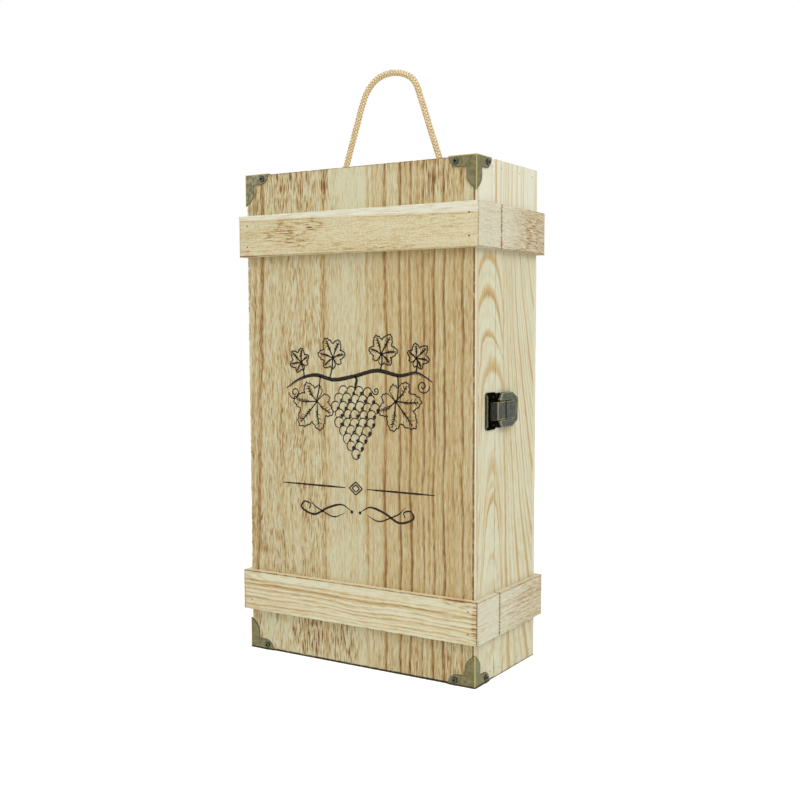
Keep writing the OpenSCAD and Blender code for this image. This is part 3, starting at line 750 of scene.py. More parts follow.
def frontPanelMaterial(spec):
    material, tree, shader, x, y, z = placedMaterial("front_panel_wood")
    inward = y - box["frontY"]
    below = box["topZ"] - z
    slant = (290.0 - z) * remap(x, -58, -84, 0.0, 0.03)
    slowX = x + softNoise((x * 0.03, 0.0, z * 0.02), 1.0, 1.0) * 5.0 - 2.5 + slant + inward * 0.5
    arris, ragged = raggedArris(x, y, z, 0.8)
    outside = remap(inward, 1.0, 3.0, 1.0, 0.3)
    # the board is figured to the left, still to the right, and darker above and below the battens
    figured, still = remap(x, -18, -36), remap(x, 6, 20)
    topStrip, lowStrip = remap(z, 316, 324), remap(z, 34, 26)
    strip = larger(topStrip, lowStrip)
    left = growthLines(slowX, -96, 0, spec["left"])
    lines = larger(left, growthLines(slowX, 0, 96, spec["right"]))
    base = still * 0.18 - strip * 0.14 + 0.08 + figured * (topStrip * 0.08 - lowStrip * 0.06)
    grain = useGroup(tree, woodGrain, {
        "Across": x, "Along": z, "Depth": y, "Lines": lines * outside * (1.0 - still * 0.07),
        "Burn": (softSpots(x, z, spec["scorched"]) + arris * 0.8) * outside,
        "Fleck": (figured * 0.34 + 0.3 - still * 0.04 + strip * 0.1 + lowStrip * 0.08) * outside,
        "Fibre": 0.4, "Band": 0.16, "Patch": 0.34,
        "Wave": (figured * 0.55 + 0.1) * (1.0 - strip * 0.6),
        "Base": base - softSpots(x, z, spec["bleached"]), **spec["tones"]})
    isFront = remap(inward, 0.8, 0.5)
    leftWorn = remap(x, -92.8, -94.0) * remap(ragged, 0.42, 0.56) * (isFront * 0.8 + 0.2)
    topEdge = remap(below, 1.4, 0.8) * remap(ragged, 0.6, 0.5, 0.1, 0.95)
    rightEdge = nearTo(x, 93.2, 0.9, 0.5) * remap(ragged, 0.66, 0.5, 0.35, 0.9)
    finishWood(shader, grain, [
        (leftWorn, spec["worn"]),
        (larger(topEdge, rightEdge) * isFront, spec["burnt"]),
        (remap(below, 1.1, 0.6) * remap(ragged, 0.58, 0.64), spec["wornTop"]),
        # painted highlight: the panel's right edge face is made pale
        (remap(x, 93.9, 94.15, 0.0, 0.9) * remap(inward, 1.4, 0.6, 0.3, 1.0), spec["lit"]),
        # the foot of the panel is darkened: painted contact shadow where it meets the floor, also
        # its burnt lower arris
        (remap(z, 1.6, 1.3) * remap(ragged, 0.6, 0.5, 0.35, 0.8), spec["foot"])])
    return material


sideGrain = {
    # arched lines, by the height of their crowns, then lines that fan out towards the rear
    "archAxis": -28.0,
    "archRate": 0.018,
    "archPower": 2.45,
    "arches": [(60, 10, .14), (84, 5, .24), (123, 7, .66), (133, 5, .3), (144, 16, .4),
               (176, 12, .14), (211.5, 11, .5), (228, 4, .1), (233.6, 5.2, .62), (248, 3, .1),
               (261, 8, .64), (274, 4, .14), (284.6, 7.5, .6), (305, 5, .2), (321, 6, .34),
               (339, 5, .24)],
    "fanCentre": 8.0,
    "fanRate": 0.007,
    "fan": [(0.4, .6, .3), (1.9, .8, .62), (3.3, .6, .34), (4.6, .5, .26), (5.9, .8, .52),
            (7.4, .5, .3), (9.0, .8, .5), (10.6, .6, .3), (12.4, .9, .58), (14.2, .8, .34),
            (15.8, .7, .3), (17.5, 1.3, .58), (20, .9, .26), (22.3, .9, .3), (24.4, .7, .24),
            (26.9, 1.6, .58), (31, 1.1, .24), (35, 1.1, .24), (39.2, 2, .5), (43, 1, .24),
            (47, 1.4, .3)],
    "top": [(-24.4, 2, .26), (-17.6, 3.2, .8), (-10.3, 2.6, .44), (-6.2, 1.4, .5), (-3.0, 1.8, .6),
            (0.8, 2.8, .5), (6.4, 2.6, .55), (13.9, 1.9, .62), (20.9, 3, .34), (23.5, 2, .56),
            (30.3, 1.6, .14)],
    "tones": {"Pale": rgb(214, 214, 188), "Middle": rgb(196, 171, 122), "Dark": rgb(156, 118, 70)},
    "bleached": rgb(236, 234, 217),
    "tan": rgb(196, 164, 108),
    # near black for the painted shadow beside the strike
    "soot": rgb(20, 17, 13),
    "mirrorHeight": 372.0,
}


def sideMaterial(name, spec, mirror=1):
    # one board before it was sawn at the seam, so its grain runs on from the lid to the case
    material, tree, shader, x, y, z = placedMaterial(name)
    if mirror < 0:
        z = spec["mirrorHeight"] - z
    sway = softNoise((y * 0.03, z * 0.02, 3.1)) * 4.0 - 2.0
    slowY = y + sway - (box["sideX"] - abs(x)) * 0.35
    above = remap(z, 317, 323)
    sawn, seam = seamMasks(y, 0.9, 0.3)
    # arches climb away from their axis, steeper lower down
    out = abs(slowY - (remap(z, 236, 214, 0.0, 6.5) + spec["archAxis"]))
    climb = out ** spec["archPower"] * spec["archRate"] * remap(z, 200, 130, 1.0, 4.5, smooth=False)
    height = z + climb + softNoise((y * 0.35, z * 0.07, 8.3)) * 4.0 - 2.0
    arches = growthLines(height, 0, 440, spec["arches"], 1)
    arches = arches * remap(slowY, 2, -9) * remap(z, 314, 324, 1.0, 0.4)
    fall = maths("EXPONENT", (z - 290.0) * spec["fanRate"])
    fanPlace = (slowY + spec["fanCentre"]) * fall
    fan = growthLines(fanPlace, 0, 56, spec["fan"]) * remap(slowY, -10, -5) * (1.0 - above * 0.7)
    arris = raggedArris(x, y, z, 0.6)[0]
    grain = useGroup(tree, woodGrain, {
        "Across": fanPlace * 2.0, "Along": z, "Depth": x,
        "Lines": larger(arches, fan) * (1.0 - sawn * 0.8),
        "Burn": arris * remap(y, 37, 41, 1.0, 0.15) * 0.3 + seam * 0.5, "Fleck": 0.16, "Fibre": 0.2,
        "Band": 0.12, "Patch": 0.6, "Wave": 0.15, "Base": 0.04, **spec["tones"]})
    # above the upper battens the board is bleached, with tan lines
    topLines = growthLines(slowY, -30, 34, spec["top"])
    marks = [(above * 0.5, spec["bleached"]), (above * topLines, spec["tan"])]
    if mirror > 0:
        # painted shadow: the wood beside the near end of the strike, above and below the tongue, is
        # made near black
        rise = abs(z - box["latchZ"])
        soot = remap(rise, 12.2, 11.5) * remap(rise, 5.5, 6.5) * nearTo(y, -15.4, 3.4, 2.4)
        marks.append((soot, spec["soot"]))
    finishWood(shader, grain, marks)
    return material


plainGrain = {
    "tones": {"Pale": rgb(214, 207, 177), "Middle": rgb(190, 166, 119), "Dark": rgb(138, 102, 60)},
    "edge": rgb(222, 218, 190),
}


def plainWoodMaterial(name, alongAxis, base, fleck, lines=0.3, paleEdge=0.0):
    # boards whose grain runs along X or Z, with growth lines of their own
    material, tree, shader, x, y, z = placedMaterial(name)
    across, along, depth = {"x": (y, x, z), "z": (x, z, y)}[alongAxis]
    sway = softNoise((across * 0.03, along * 0.008, 1.7))
    uneven = softNoise((across * 0.06, along * 0.003, 5.0))
    rings = maths("FRACT", across * 0.13 + sway * 3.0 + uneven * 4.0 + depth * 0.06)
    arris = raggedArris(x, y, z, 0.7)[0]
    grain = useGroup(tree, woodGrain, {
        "Across": across, "Along": along, "Depth": depth, "Lines": rings ** 4.0 * lines,
        "Burn": arris * 0.4, "Fleck": fleck, "Fibre": 0.2, "Band": 0.15, "Patch": 0.5, "Wave": 0.7,
        "Base": base, **plainGrain["tones"]})
    finishWood(shader, grain, [(remap(abs(x), 93.9, 94.2, 0.0, paleEdge), plainGrain["edge"])])
    return material


battenGrain = {
    "lower": {
        "lines": [(-12.4, 2.0, .3), (-9.8, 1.5, .46), (-7.4, 1.2, .2), (-5.0, 2.2, .5),
                  (-2.2, 1.6, .54), (1.2, 1.8, .46), (4.9, 2.6, .66), (7.8, 1.8, .4)],
        "wave": 3.8, "slope": 0.0, "stripPale": 0.0, "cornerLine": 0.85,
        "scorched": [(-90, 12, 14, 6, .2), (84, 13, 14, 5, .45), (98, 2, 5, 18, .6)],
        "burntEdge": 1,
        "burntRun": [(-100, .95), (-45, .9), (-30, .7), (10, .75), (60, .85), (100, .95)],
        "long": {"fleck": 0.12, "base": 0.0, "tan": 0.7, "pale": rgb(220, 216, 186)},
        "side": {"rearBurn": 0.08, "rearBase": 0.14, "tan": 0.34, "pale": rgb(214, 211, 189)},
    },
    "upper": {
        "lines": [(-12.6, 1.0, .2), (-9.6, 0.8, .08), (9.2, 0.9, .42), (12.2, 1.0, .1)],
        "wave": 1.4, "slope": 0.02, "stripPale": 0.85, "cornerLine": 0.4,
        "burntEdge": -1,
        "burntRun": [(-100, 1), (-90, .9), (-80, .6), (0, .5), (20, .25), (100, .3)],
        "scorched": [(-62, 1, 22, 9, .42), (-46, -3, 18, 8.5, .46), (-33, 5, 11, 6, .5),
                     (-56, 7, 18, 4, .4), (-84, 0, 12, 9, .16), (6, 6, 16, 5, .12),
                     (24, -12, 44, 3, .18)],
        "long": {"fleck": 0.26, "base": 0.055, "tan": 0.34, "pale": rgb(213, 206, 171)},
        "side": {"rearBurn": 0.2, "rearBase": 0.2, "tan": 0.34, "pale": rgb(212, 208, 187)},
    },
    "linePlace": 14.15,        # the burnt line's distance from the middle of a batten
    "middle": {"long": rgb(194, 168, 118), "side": rgb(186, 165, 124)},
    "dark": rgb(130, 94, 52),
    "strip": rgb(228, 228, 212),
    "tan": rgb(208, 178, 118),
    "line": rgb(94, 60, 28),
    "corner": rgb(108, 76, 44),
}


def battenMaterial(level, run, middleZ):
    # run is "long" for the battens of the front and back, and "side" for those of the sides
    spec, own = battenGrain[level], battenGrain[level][run]
    isLong = run == "long"
    material, tree, shader, x, y, z = placedMaterial(level + "_" + run + "_batten_wood")
    across = z - middleZ
    along, depth = (x, y) if isLong else (y, x)
    shifted = along + attribute(tree, "seed") * 173.0
    wave = softNoise((across * 0.05, shifted * 0.014, 0.3), 1.0, 3.0, 0.55)
    place = across + wave * (spec["wave"] * 2) - spec["wave"] + along * spec["slope"]
    lines = growthLines(place, -20, 20, spec["lines"])
    burn = raggedArris(x, y, z, 0.7)[0] * 0.6
    if isLong:
        burn = burn + softSpots(along, across, spec["scorched"]) * remap(y, 10, -10)
        grainAcross, fleck, base, band = across, own["fleck"], own["base"], 0.14
    else:
        # the rear half is browner
        rear = remap(y, -14, 34)
        seam = seamMasks(y, 1.5, 0.6)[1]
        lines = lines * remap(y, -19, -17, 0.1, 0.4)
        burn = burn + rear * own["rearBurn"] + seam * 1.6
        grainAcross, fleck = across + along * 0.05, rear * 0.08 + 0.17
        base, band = rear * own["rearBase"], 0.12
    if level == "upper":
        speck = softNoise((x * 0.7, y * 0.7, z * 0.9), 1.0, 2.0, 0.7)
        base = remap(speck, 0.34, 0.66, -0.16, 0.22, smooth=False) + base
    grain = useGroup(tree, woodGrain, {
        "Across": grainAcross, "Along": along, "Depth": depth, "Lines": lines, "Burn": burn,
        "Fleck": fleck, "Fibre": 0.4, "Band": band, "Patch": 0.6, "Wave": 0.3, "Base": base,
        "Pale": own["pale"], "Middle": battenGrain["middle"][run], "Dark": battenGrain["dark"]})
    # the arris that faces the viewer is burnt along one face and tan beyond it
    edge = across * spec["burntEdge"]
    charred = remap(softNoise((along * 0.12, 0.0, 4.0)), 0.62, 0.44, 0.6, 1.0)
    line = nearTo(edge, battenGrain["linePlace"], 0.55, 0.25) * charred
    line = line * (runOf(along, spec["burntRun"]) if isLong else 0.5)
    outer = remap(abs(depth), 47.7, 48.3) if isLong else remap(abs(depth), 96.2, 96.8)
    tan = remap(edge, 14.65, 14.8, 0.0, own["tan"]) * (outer * 0.75 + 0.25)
    marks = [(tan, battenGrain["tan"]), (line, battenGrain["line"])]
    if isLong:
        fibre = remap(softNoise((along * 0.06, 0.0, across * 1.3)), 0.62, 0.4, 0.4, 1.0)
        marks.insert(0, (remap(place, 8.8, 11.2) * fibre * spec["stripPale"], battenGrain["strip"]))
        # the mitre shows as a broken line down the corner
        broken = remap(softNoise((0.0, 0.0, z * 0.3)), 0.4, 0.56, 0.4, 1.0)
        mitre = remap(abs(along), 97.5, 98.0) * broken * spec["cornerLine"]
        marks.append((mitre, battenGrain["corner"]))
    finishWood(shader, grain, marks)
    return material


def makeWood():
    rightWood = sideMaterial("right_side_wood", sideGrain)
    leftWood = sideMaterial("left_side_wood", sideGrain, -1)
    endWood = plainWoodMaterial("end_board_wood", "x", 0.08, 0.24)
    plan = {
        "front_panel": frontPanelMaterial(frontGrain),
        "back_panel": plainWoodMaterial("back_panel_wood", "z", 0.08, 0.36, 0.42, 0.7),
        "bottle_divider": plainWoodMaterial("divider_wood", "z", 0.04, 0.14, 0.2),
        "case_side_right": rightWood, "lid_side_right": rightWood,
        "case_side_left": leftWood, "lid_side_left": leftWood,
        "case_top": endWood, "case_bottom": endWood, "lid_top": endWood, "lid_bottom": endWood,
    }
    for level in ("lower", "upper"):
        low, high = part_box("batten_" + level + "_front")
        middle = (low.z + high.z) / 2 / millimetre
        woods = {run: battenMaterial(level, run, middle) for run in ("long", "side")}
        for node in cadNodes:
            if node.startswith("batten_" + level):
                plan[node] = woods["long" if node.endswith(("front", "back")) else "side"]
    for seed, (node, material) in enumerate(sorted(plan.items())):
        woodPiece(node, material, float(seed))
    print("wood pieces made:", len(plan))


makeWood()


# bronze and steel: bevelled copies that know how far each point is from the nearest worn edge

metalShape = {"soft": 0.00014, "latchSoft": 0.0002, "shortEdge": 0.0003, "gridEvery": 0.0007}


def edgeDistances(places, segments):
    best = np.full(len(places), 1.0)
    for start, end in segments:
        way = end - start
        along = np.clip((places - start) @ way / (way @ way), 0.0, 1.0)
        best = np.minimum(best, np.linalg.norm(places - (start + along[:, None] * way), axis=1))
    return best * 1000


def outerFaces(edge, low, high):
    # how many faces of the piece's own box an edge lies on
    return sum(all(abs(v.co[axis] - face[axis]) < 1e-6 for v in edge.verts)
               for axis in range(3) for face in (low, high))


def metalPiece(node, material, soft, folded=False):
    low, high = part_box(node)
    bm, edges = sharpCopy(node, metalShape["shortEdge"])
    worn, rims = [], []
    for edge in edges:
        if edge.calc_face_angle_signed(0) >= 0:
            kept = worn if not folded or outerFaces(edge, low, high) == 2 else rims
            kept.append(tuple(np.array(v.co) for v in edge.verts))
    bevelEdges(bm, edges, soft)
    for axis in range(3):
        cutAlong(bm, low, high, axis, metalShape["gridEvery"])
    mesh = meshOf(bm, node + "_metal")
    places = np.array([v.co for v in mesh.vertices])
    for name, segments in (("worn", worn), ("rim", rims)):
        layer = mesh.attributes.new(name, "FLOAT", "POINT")
        layer.data.foreach_set("value", edgeDistances(places, segments).astype(np.float32))
    addCopy(node, "_metal", mesh, material)


def bronzeGroup():
    tree, given = startGroup(
        "agedBronze", ("Worn", "Grime", "Brush"), ("Bronze", "Shade", "Bright", "Dirt"))
    x, y, z = objectMillimetres(tree)
    cloudy = softNoise((x, y, z), 0.35, 4.0, 0.65)
    speck = softNoise((x, y, z), 1.5, 3.0, 0.6)
    brushed = softNoise((x * 4.0, y * 4.0, z * 0.35))
    tone = (remap(cloudy, 0.35, 0.68) + (brushed - 0.5) * given["Brush"]).clamped()
    worn = (given["Worn"] * remap(speck, 0.32, 0.55, 0.5, 1.0)).clamped()
    colour = mixColour(tone, given["Shade"], given["Bronze"])
    colour = mixColour(remap(speck, 0.55, 0.7, 0.0, 0.4), colour, given["Shade"])
    colour = mixColour(worn, colour, given["Bright"])
    # the painted shade from the material's masks is laid over last, and it makes the metal rougher
    # and less metallic
    colour = mixColour(given["Grime"], colour, given["Dirt"])
    rough = cloudy * 0.3 + 0.3 - worn * 0.1 + given["Grime"] * 0.4
    return endGroup(tree, {
        "Colour": colour, "Rough": rough.clamped(), "Height": brushed + speck,
        "Clean": (1.0 - given["Grime"]).clamped()})


agedBronze = bronzeGroup()

# "reach" is how far from an edge the bronze is rubbed bright, in millimetres
# the dark colour after Bright is the colour of painted shade, and rim is how strong that shade is
# along the cut edges
metals = {
    "protector": {
        "Bronze": rgb(128, 122, 84), "Shade": rgb(100, 95, 62), "Bright": rgb(196, 186, 112),
        "Dirt": rgb(70, 58, 32), "Brush": 0.5, "wear": 0.85, "reach": 0.75, "metallic": 0.5,
        "rim": 0.38, "grey": rgb(150, 146, 118)},
    "latch": {
        "Bronze": rgb(84, 90, 76), "Shade": rgb(44, 47, 36), "Bright": rgb(166, 157, 112),
        "Dirt": rgb(14, 12, 8), "Brush": 0.9, "wear": 0.9, "reach": 0.5, "metallic": 0.55},
    "hinge": {
        "Bronze": rgb(108, 104, 78), "Shade": rgb(72, 69, 50), "Bright": rgb(176, 166, 110),
        "Dirt": rgb(40, 34, 22), "Brush": 0.5, "wear": 0.7, "reach": 0.6, "metallic": 0.6,
        "rim": 0.0},
}


def latchShading(x, y, z):
    # painted shade: near black in the recess round the pin, on the ears and in the groove before
    # the tab, darker on the lip's wall and lighter on the tongue's slope; the raised tongue and
    # tab, and a band past the tab, are darkened a little, and the bends get painted highlights
    over = abs(x) - box["sideX"]
    rise = abs(z - box["latchZ"])
    inLip = remap(y, -31.7, -31.3)
    tongueWide = remap(rise, 6.2, 5.9)
    recess = remap(over, 2.4, 1.5) * inLip
    ears = remap(rise, 6.0, 6.3) * remap(y, -17.9, -18.3) * inLip
    groove = nearTo(y, -10.65, 1.0, 0.6) * tongueWide
    slope = remap(y, -22.9, -23.6, 0.0, 0.66) * inLip * remap(over, 1.0, 3.0)
    wall = remap(y, -32.2, -32.6, 0.0, 0.6)
    tab = remap(over, 3.2, 3.8, 0.0, 0.16) * tongueWide * remap(y, -23.0, -22.4)
    beyondTab = nearTo(y, 6.6, 1.1, 0.5, 0.0, 0.55) * tongueWide
    bends = larger(nearTo(y, -22.5, 0.8, 0.3, 0.0, 0.85), nearTo(y, 4.7, 0.8, 0.3, 0.0, 0.8))
    bends = bends * tongueWide * remap(over, 3.5, 3.9)
    return larger(recess, ears, groove, slope, wall, tab, beyondTab), bends, larger(groove, ears)


def metalMaterial(name, kind):
    spec = metals[kind]
    material, tree, shader, x, y, z = placedMaterial(name)
    near = attribute(tree, "worn")
    if kind == "latch":
        # the slanted near ends of the strike are made bright wider than the other edges, a painted
        # highlight where they catch the light
        near = near * nearTo(y, -15.2, 2.4, 1.6, 1.0, 0.5)
    worn = remap(near, spec["reach"], 0.25 * spec["reach"]) * spec["wear"]
    given = {label: spec[label] for label in ("Brush", "Bronze", "Shade", "Bright", "Dirt")}
    if kind == "latch":
        paintedShade, bends, hidden = latchShading(x, y, z)
        # painted highlights along the tongue's two bends, and no wear where the groove and ears are
        # in painted shade
        worn = (larger(worn, bends) - hidden).clamped()
    else:
        # painted shade along the protector's cut edges
        paintedShade = remap(attribute(tree, "rim"), 0.9, 0.3) * spec["rim"]
    if kind == "protector":
        # the top left one is greyer than the others, and the lower ones get painted shade along
        # their foot, where they stand on the floor
        topLeft = remap(x, 0, -10) * remap(z, 170, 180)
        given["Bronze"] = mixColour(topLeft, spec["Bronze"], spec["grey"])
        paintedShade = larger(paintedShade, remap(z, 1.1, 0.7))
    made = useGroup(tree, agedBronze, {"Worn": worn, "Grime": paintedShade, **given})
    feed(shader, {
        "Base Color": made["Colour"], "Roughness": made["Rough"],
        "Normal": bumpFrom(made["Height"], 0.3, 0.0001),
        "Metallic": made["Clean"] * spec["metallic"], "Specular IOR Level": made["Clean"] * 0.5})
    return material


screwTints = {
    "dull": rgb(64, 68, 60),
    "pale": rgb(112, 116, 104),
    "rim": rgb(24, 25, 22),
    # painted shade in the cross recess
    "recess": rgb(8, 8, 8),
}


def screwMaterial(tints):
    # a head is black in its recess, which is painted shade, pale round it and dark at the rim
    material, tree, shader = newMaterial("dark_screw_steel")
    share = attribute(tree, "share")
    speck = softNoise(objectMillimetres(tree), 2.2, 3.0, 0.6)
    colour = mixColour(remap(speck, 0.35, 0.65), tints["dull"], tints["pale"])
    colour = mixColour(remap(share, 0.62, 0.92), colour, tints["rim"])
    colour = mixColour(remap(share, 0.52, 0.4), colour, tints["recess"])
    feed(shader, {"Base Color": colour, "Metallic": 0.6, "Roughness": 0.34})
    return material


def makeMetal():
    protector = metalMaterial("protector_bronze", "protector")
    latch = metalMaterial("latch_bronze_aged", "latch")
    hinge = metalMaterial("hinge_bronze", "hinge")
    for node in cadNodes:
        if slotOfNode[node] == "bronze":
            metalPiece(node, protector, metalShape["soft"], folded=True)
        elif node.startswith("hinge"):
            metalPiece(node, hinge, metalShape["soft"])
        elif slotOfNode[node] == "latch_bronze":
            metalPiece(node, latch, metalShape["latchSoft"])
    print("metal pieces made")


makeMetal()


# fasteners: each tree sets a head on every point, turned to the point's own facing

def islands(node):
    # the separate fasteners of a node, as the middle of each outer face and its direction
    bm = mergedCopy(node)
    left = set(bm.verts)
    found = []
    while left:
        stack = [left.pop()]
        group = list(stack)
        while stack:
            vert = stack.pop()
            for edge in vert.link_edges:
                other = edge.other_vert(vert)
                if other in left:
                    left.remove(other)
                    stack.append(other)
                    group.append(other)
        low = Vector([min(v.co[k] for v in group) for k in range(3)])
        high = Vector([max(v.co[k] for v in group) for k in range(3)])
        middle = (low + high) / 2
        axis = longAxis(high - low)
        facing = Vector((0.0, 0.0, 0.0))
        facing[axis] = 1.0 if middle[axis] > 0 else -1.0
        middle[axis] = high[axis] if middle[axis] > 0 else low[axis]
        found.append((middle, facing))
    bm.free()
    return sorted(found, key=lambda item: tuple(round(c, 5) for c in item[0]))


def fastenerTree():
    tree = bpy.data.node_groups.new("fastenerHeads", "GeometryNodeTree")
    addInputs(tree, "Geometry", ["Points"])
    addInputs(tree, "Float", ("Radius", "Height", "Recess Width", "Recess Depth", "Turn"))
    addInputs(tree, "Material", ["Material"])
    tree.interface.new_socket("Geometry", in_out="OUTPUT", socket_type="NodeSocketGeometry")
    given = outputsOf(tree.nodes.new("NodeGroupInput"))
    radius, height, wide = given["Radius"], given["Height"], given["Recess Width"]
    # a domed head
    head = result(tree, "GeometryNodeMeshCylinder", {
        "Vertices": 28, "Side Segments": 1, "Fill Segments": 5, "Radius": radius,
        "Depth": height * 2.0})
    x, y, z = splitVector(result(tree, "GeometryNodeInputPosition"))
    share = maths("SQRT", x * x + y * y) / radius
    domed = result(tree, "GeometryNodeSetPosition", {
        "Geometry": head, "Selection": maths("GREATER_THAN", z, 0.0),
        "Offset": combine(0.0, 0.0, share ** 2.4 * (height * -0.7))})
    # two bars cut the cross recess
    cut = addNode(tree, "GeometryNodeMeshBoolean", {"Mesh 1": domed}, operation="DIFFERENCE")
    long, tall = radius * 1.15, given["Recess Depth"] * 2.0
    for size in ((long, wide, tall), (wide, long, tall)):
        bar = result(tree, "GeometryNodeMeshCube", {"Size": combine(*size)})
        feed(cut, {"Mesh 2": result(tree, "GeometryNodeTransform", {
            "Geometry": bar, "Translation": combine(0.0, 0.0, height)})})
    marked = addNode(tree, "GeometryNodeStoreNamedAttribute", {
        "Geometry": cut.outputs["Mesh"], "Name": "share"}, data_type="FLOAT", domain="POINT")
    feed(marked, {"Value": share})
    # the head is turned to its point's facing, and spun by chance
    facing = result(
        tree, "GeometryNodeInputNamedAttribute", {"Name": "facing"}, data_type="FLOAT_VECTOR")
    turned = result(tree, "FunctionNodeAlignRotationToVector", {"Vector": facing}, axis="Z")
    spin = result(tree, "FunctionNodeRandomValue", {"Seed": 7}, 1, data_type="FLOAT")
    twist = result(tree, "FunctionNodeAxisAngleToRotation", {
        "Axis": (0.0, 0.0, 1.0), "Angle": spin * given["Turn"]})
    rotation = result(tree, "FunctionNodeRotateRotation", {
        "Rotation": turned, "Rotate By": twist}, rotation_space="LOCAL")
    placed = result(tree, "GeometryNodeInstanceOnPoints", {
        "Points": given["Points"], "Instance": marked.outputs[0], "Rotation": rotation})
    real = result(tree, "GeometryNodeRealizeInstances", {0: placed})
    dressed = result(tree, "GeometryNodeSetMaterial", {
        "Geometry": real, "Material": given["Material"]})
    feed(tree.nodes.new("NodeGroupOutput"), {"Geometry": dressed})
    return tree


def applyTree(points, tree, values):
    # runs the tree once and keeps its result as a plain mesh
    sockets = {s.name: s.identifier for s in tree.interface.items_tree if s.in_out == "INPUT"}
    modifier = points.modifiers.new("build", "NODES")
    modifier.node_group = tree
    for label, value in values.items():
        modifier[sockets[label]] = value
    graph = bpy.context.evaluated_depsgraph_get()
    mesh = bpy.data.meshes.new_from_object(points.evaluated_get(graph))
    points.modifiers.remove(modifier)
    bpy.data.objects.remove(points)
    return mesh


def pointsObject(places):
    mesh = bpy.data.meshes.new("places")
    mesh.from_pydata([tuple(p) for p, facing in places], [], [])
    layer = mesh.attributes.new("facing", "FLOAT_VECTOR", "POINT")
    for i, (p, facing) in enumerate(places):
        layer.data[i].vector = facing
    return newObject("places", mesh)


fastenerSizes = {
    "corner_screws": {"radius": 0.0022, "height": 0.0011, "recess": 0.00062, "deep": 0.0006},
    "small": {"radius": 0.0015, "height": 0.0006, "recess": 0.0004, "deep": 0.0003},
    "brads": {"radius": 0.0006, "height": 0.00008, "recess": 0.0002, "deep": 0.00002},
}


def makeFasteners():
    steel = screwMaterial(screwTints)
    tree = fastenerTree()
    for node in sorted(n for n in cadNodes if slotOfNode[n] == "dark_steel"):
        size = fastenerSizes["brads" if node.endswith("brads") else
                             "corner_screws" if node == "corner_screws" else "small"]
        places = [(p - facing * size["height"], facing) for p, facing in islands(node)]
        mesh = applyTree(pointsObject(places), tree, {
            "Radius": size["radius"], "Height": size["height"], "Recess Width": size["recess"],
            "Recess Depth": size["deep"], "Turn": 6.28, "Material": steel})
        mesh.name = node + "_heads"
        addCopy(node, "_heads", mesh, steel)
        print(node, len(places), "heads")


makeFasteners()


# printed design on the front: vine leaves and grapes over two rules, in pen lines of varying width

ink = {
    "front": -0.04604,
    "back": -0.04598,
    "colour": rgb(40, 33, 28),
    "rubbed": rgb(122, 96, 66),
    "weight": 1.7,
    "taper": 0.25,             # share of a line over which each end thins out
    "uneven": 0.3,
    "bunch": (0.0, 195.0),     # middle of the top row of grapes
    "rows": (4, 5, 6, 5, 5, 4, 3, 2, 1),
    "grapeRadius": 3.6,
    "grapeSpacing": (1.86, 1.52),          # across and down, in radii
    "grapeShift": 0.5,
    "grapeSeed": 11,
    "grapeHatch": ((0.8, 50), (0.62, 42), (0.44, 32)),     # share of the radius and half angle
    # angle and reach of each lobe of a leaf
    "lobes": [(-152, 0.6), (-106, 0.78), (-53, 0.94), (0, 1.06), (53, 0.94), (106, 0.78),
              (152, 0.6)],
    "branch": [(-60, 196), (-48, 203), (-34, 206), (-18, 203), (0, 206), (18, 210), (36, 207),
               (50, 209), (62, 203)],
    "branchWide": 1.5,
    "stalk": [(0, 206), (1.2, 203), (0.2, 199), (0, 196)],
    # x, z, size, turn and seed of each leaf
    "leaves": [(-34, 186, 20, 228, 1), (34, 188, 20, 312, 2), (-19, 219, 13, 118, 5),
               (22, 222, 13, 60, 6), (-47, 215, 10, 140, 8), (50, 219, 10, 44, 9)],
    # x, z, size, turns, side and seed of each tendril
    "tendrils": [(-58, 193, 5.5, 1.7, 1, 12), (60, 200, 5.5, 1.7, -1, 13),
                 (14, 196, 3.2, 1.5, 1, 14)],
    "rules": [(-64, -9), (9, 64)],
    "ruleHeight": 127.0,
    "flourishHeight": 110.0,
    # right half of the flourish, from the height above
    "loop": [(3, 0), (12, 4.6), (24, 1.5), (36, -4.2), (47, -0.5), (45, 4.4), (39.5, 3.2),
             (40.5, -0.4)],
    "sweep": [(9, -1), (19, -4.6), (29, -1.2), (36, 2.2), (41, 7.2)],
}


def penLine(bm, points, wide, start=0.35, end=0.35, seed=0.0):
    # a closed thin ribbon along points given as (x, z) in millimetres
    line = [Vector((p[0], 0.0, p[1])) for p in points]
    count = len(line)
    rails = []
    for i, p in enumerate(line):
        way = (line[min(i + 1, count - 1)] - line[max(i - 1, 0)]).normalized()
        side = Vector((-way.z, 0.0, way.x))
        t = i / (count - 1)
        least, reach = (start, t) if t < 0.5 else (end, 1 - t)
        taper = least + (1 - least) * min(1, reach / ink["taper"])
        uneven = 1 + ink["uneven"] * noise.noise(Vector((p.x * 0.9, seed, p.z * 0.9)))
        half = side * (0.5 * wide * ink["weight"] * taper * uneven)
        rails.append([bm.verts.new((at.x * millimetre, depth, at.z * millimetre))
                      for depth in (ink["front"], ink["back"]) for at in (p + half, p - half)])
    for a, b in zip(rails, rails[1:]):
        for k, n in ((0, 1), (1, 3), (3, 2), (2, 0)):
            bm.faces.new((a[k], b[k], b[n], a[n]))
    for cap in (rails[0], rails[-1]):
        bm.faces.new((cap[0], cap[1], cap[3], cap[2]))


def curvePoints(corners, step=1.2):
    return [(p.x, p.z) for p in smoothLine([Vector((x, 0, z)) for x, z in corners], step)]


def arcPoints(x, z, radius, first, last, squash=1.0):
    count = max(3, int(abs(last - first) / 12) + 1)
    return [(x + radius * math.cos(math.radians(first + (last - first) * i / count)),
             z + radius * squash * math.sin(math.radians(first + (last - first) * i / count)))
            for i in range(count + 1)]


def midway(a, b):
    return ((a[0] + b[0]) / 2, (a[1] + b[1]) / 2)


def hidden(point, grapes, share):
    return any(math.dist(point, (x, z)) < radius * share for x, z, radius in grapes)


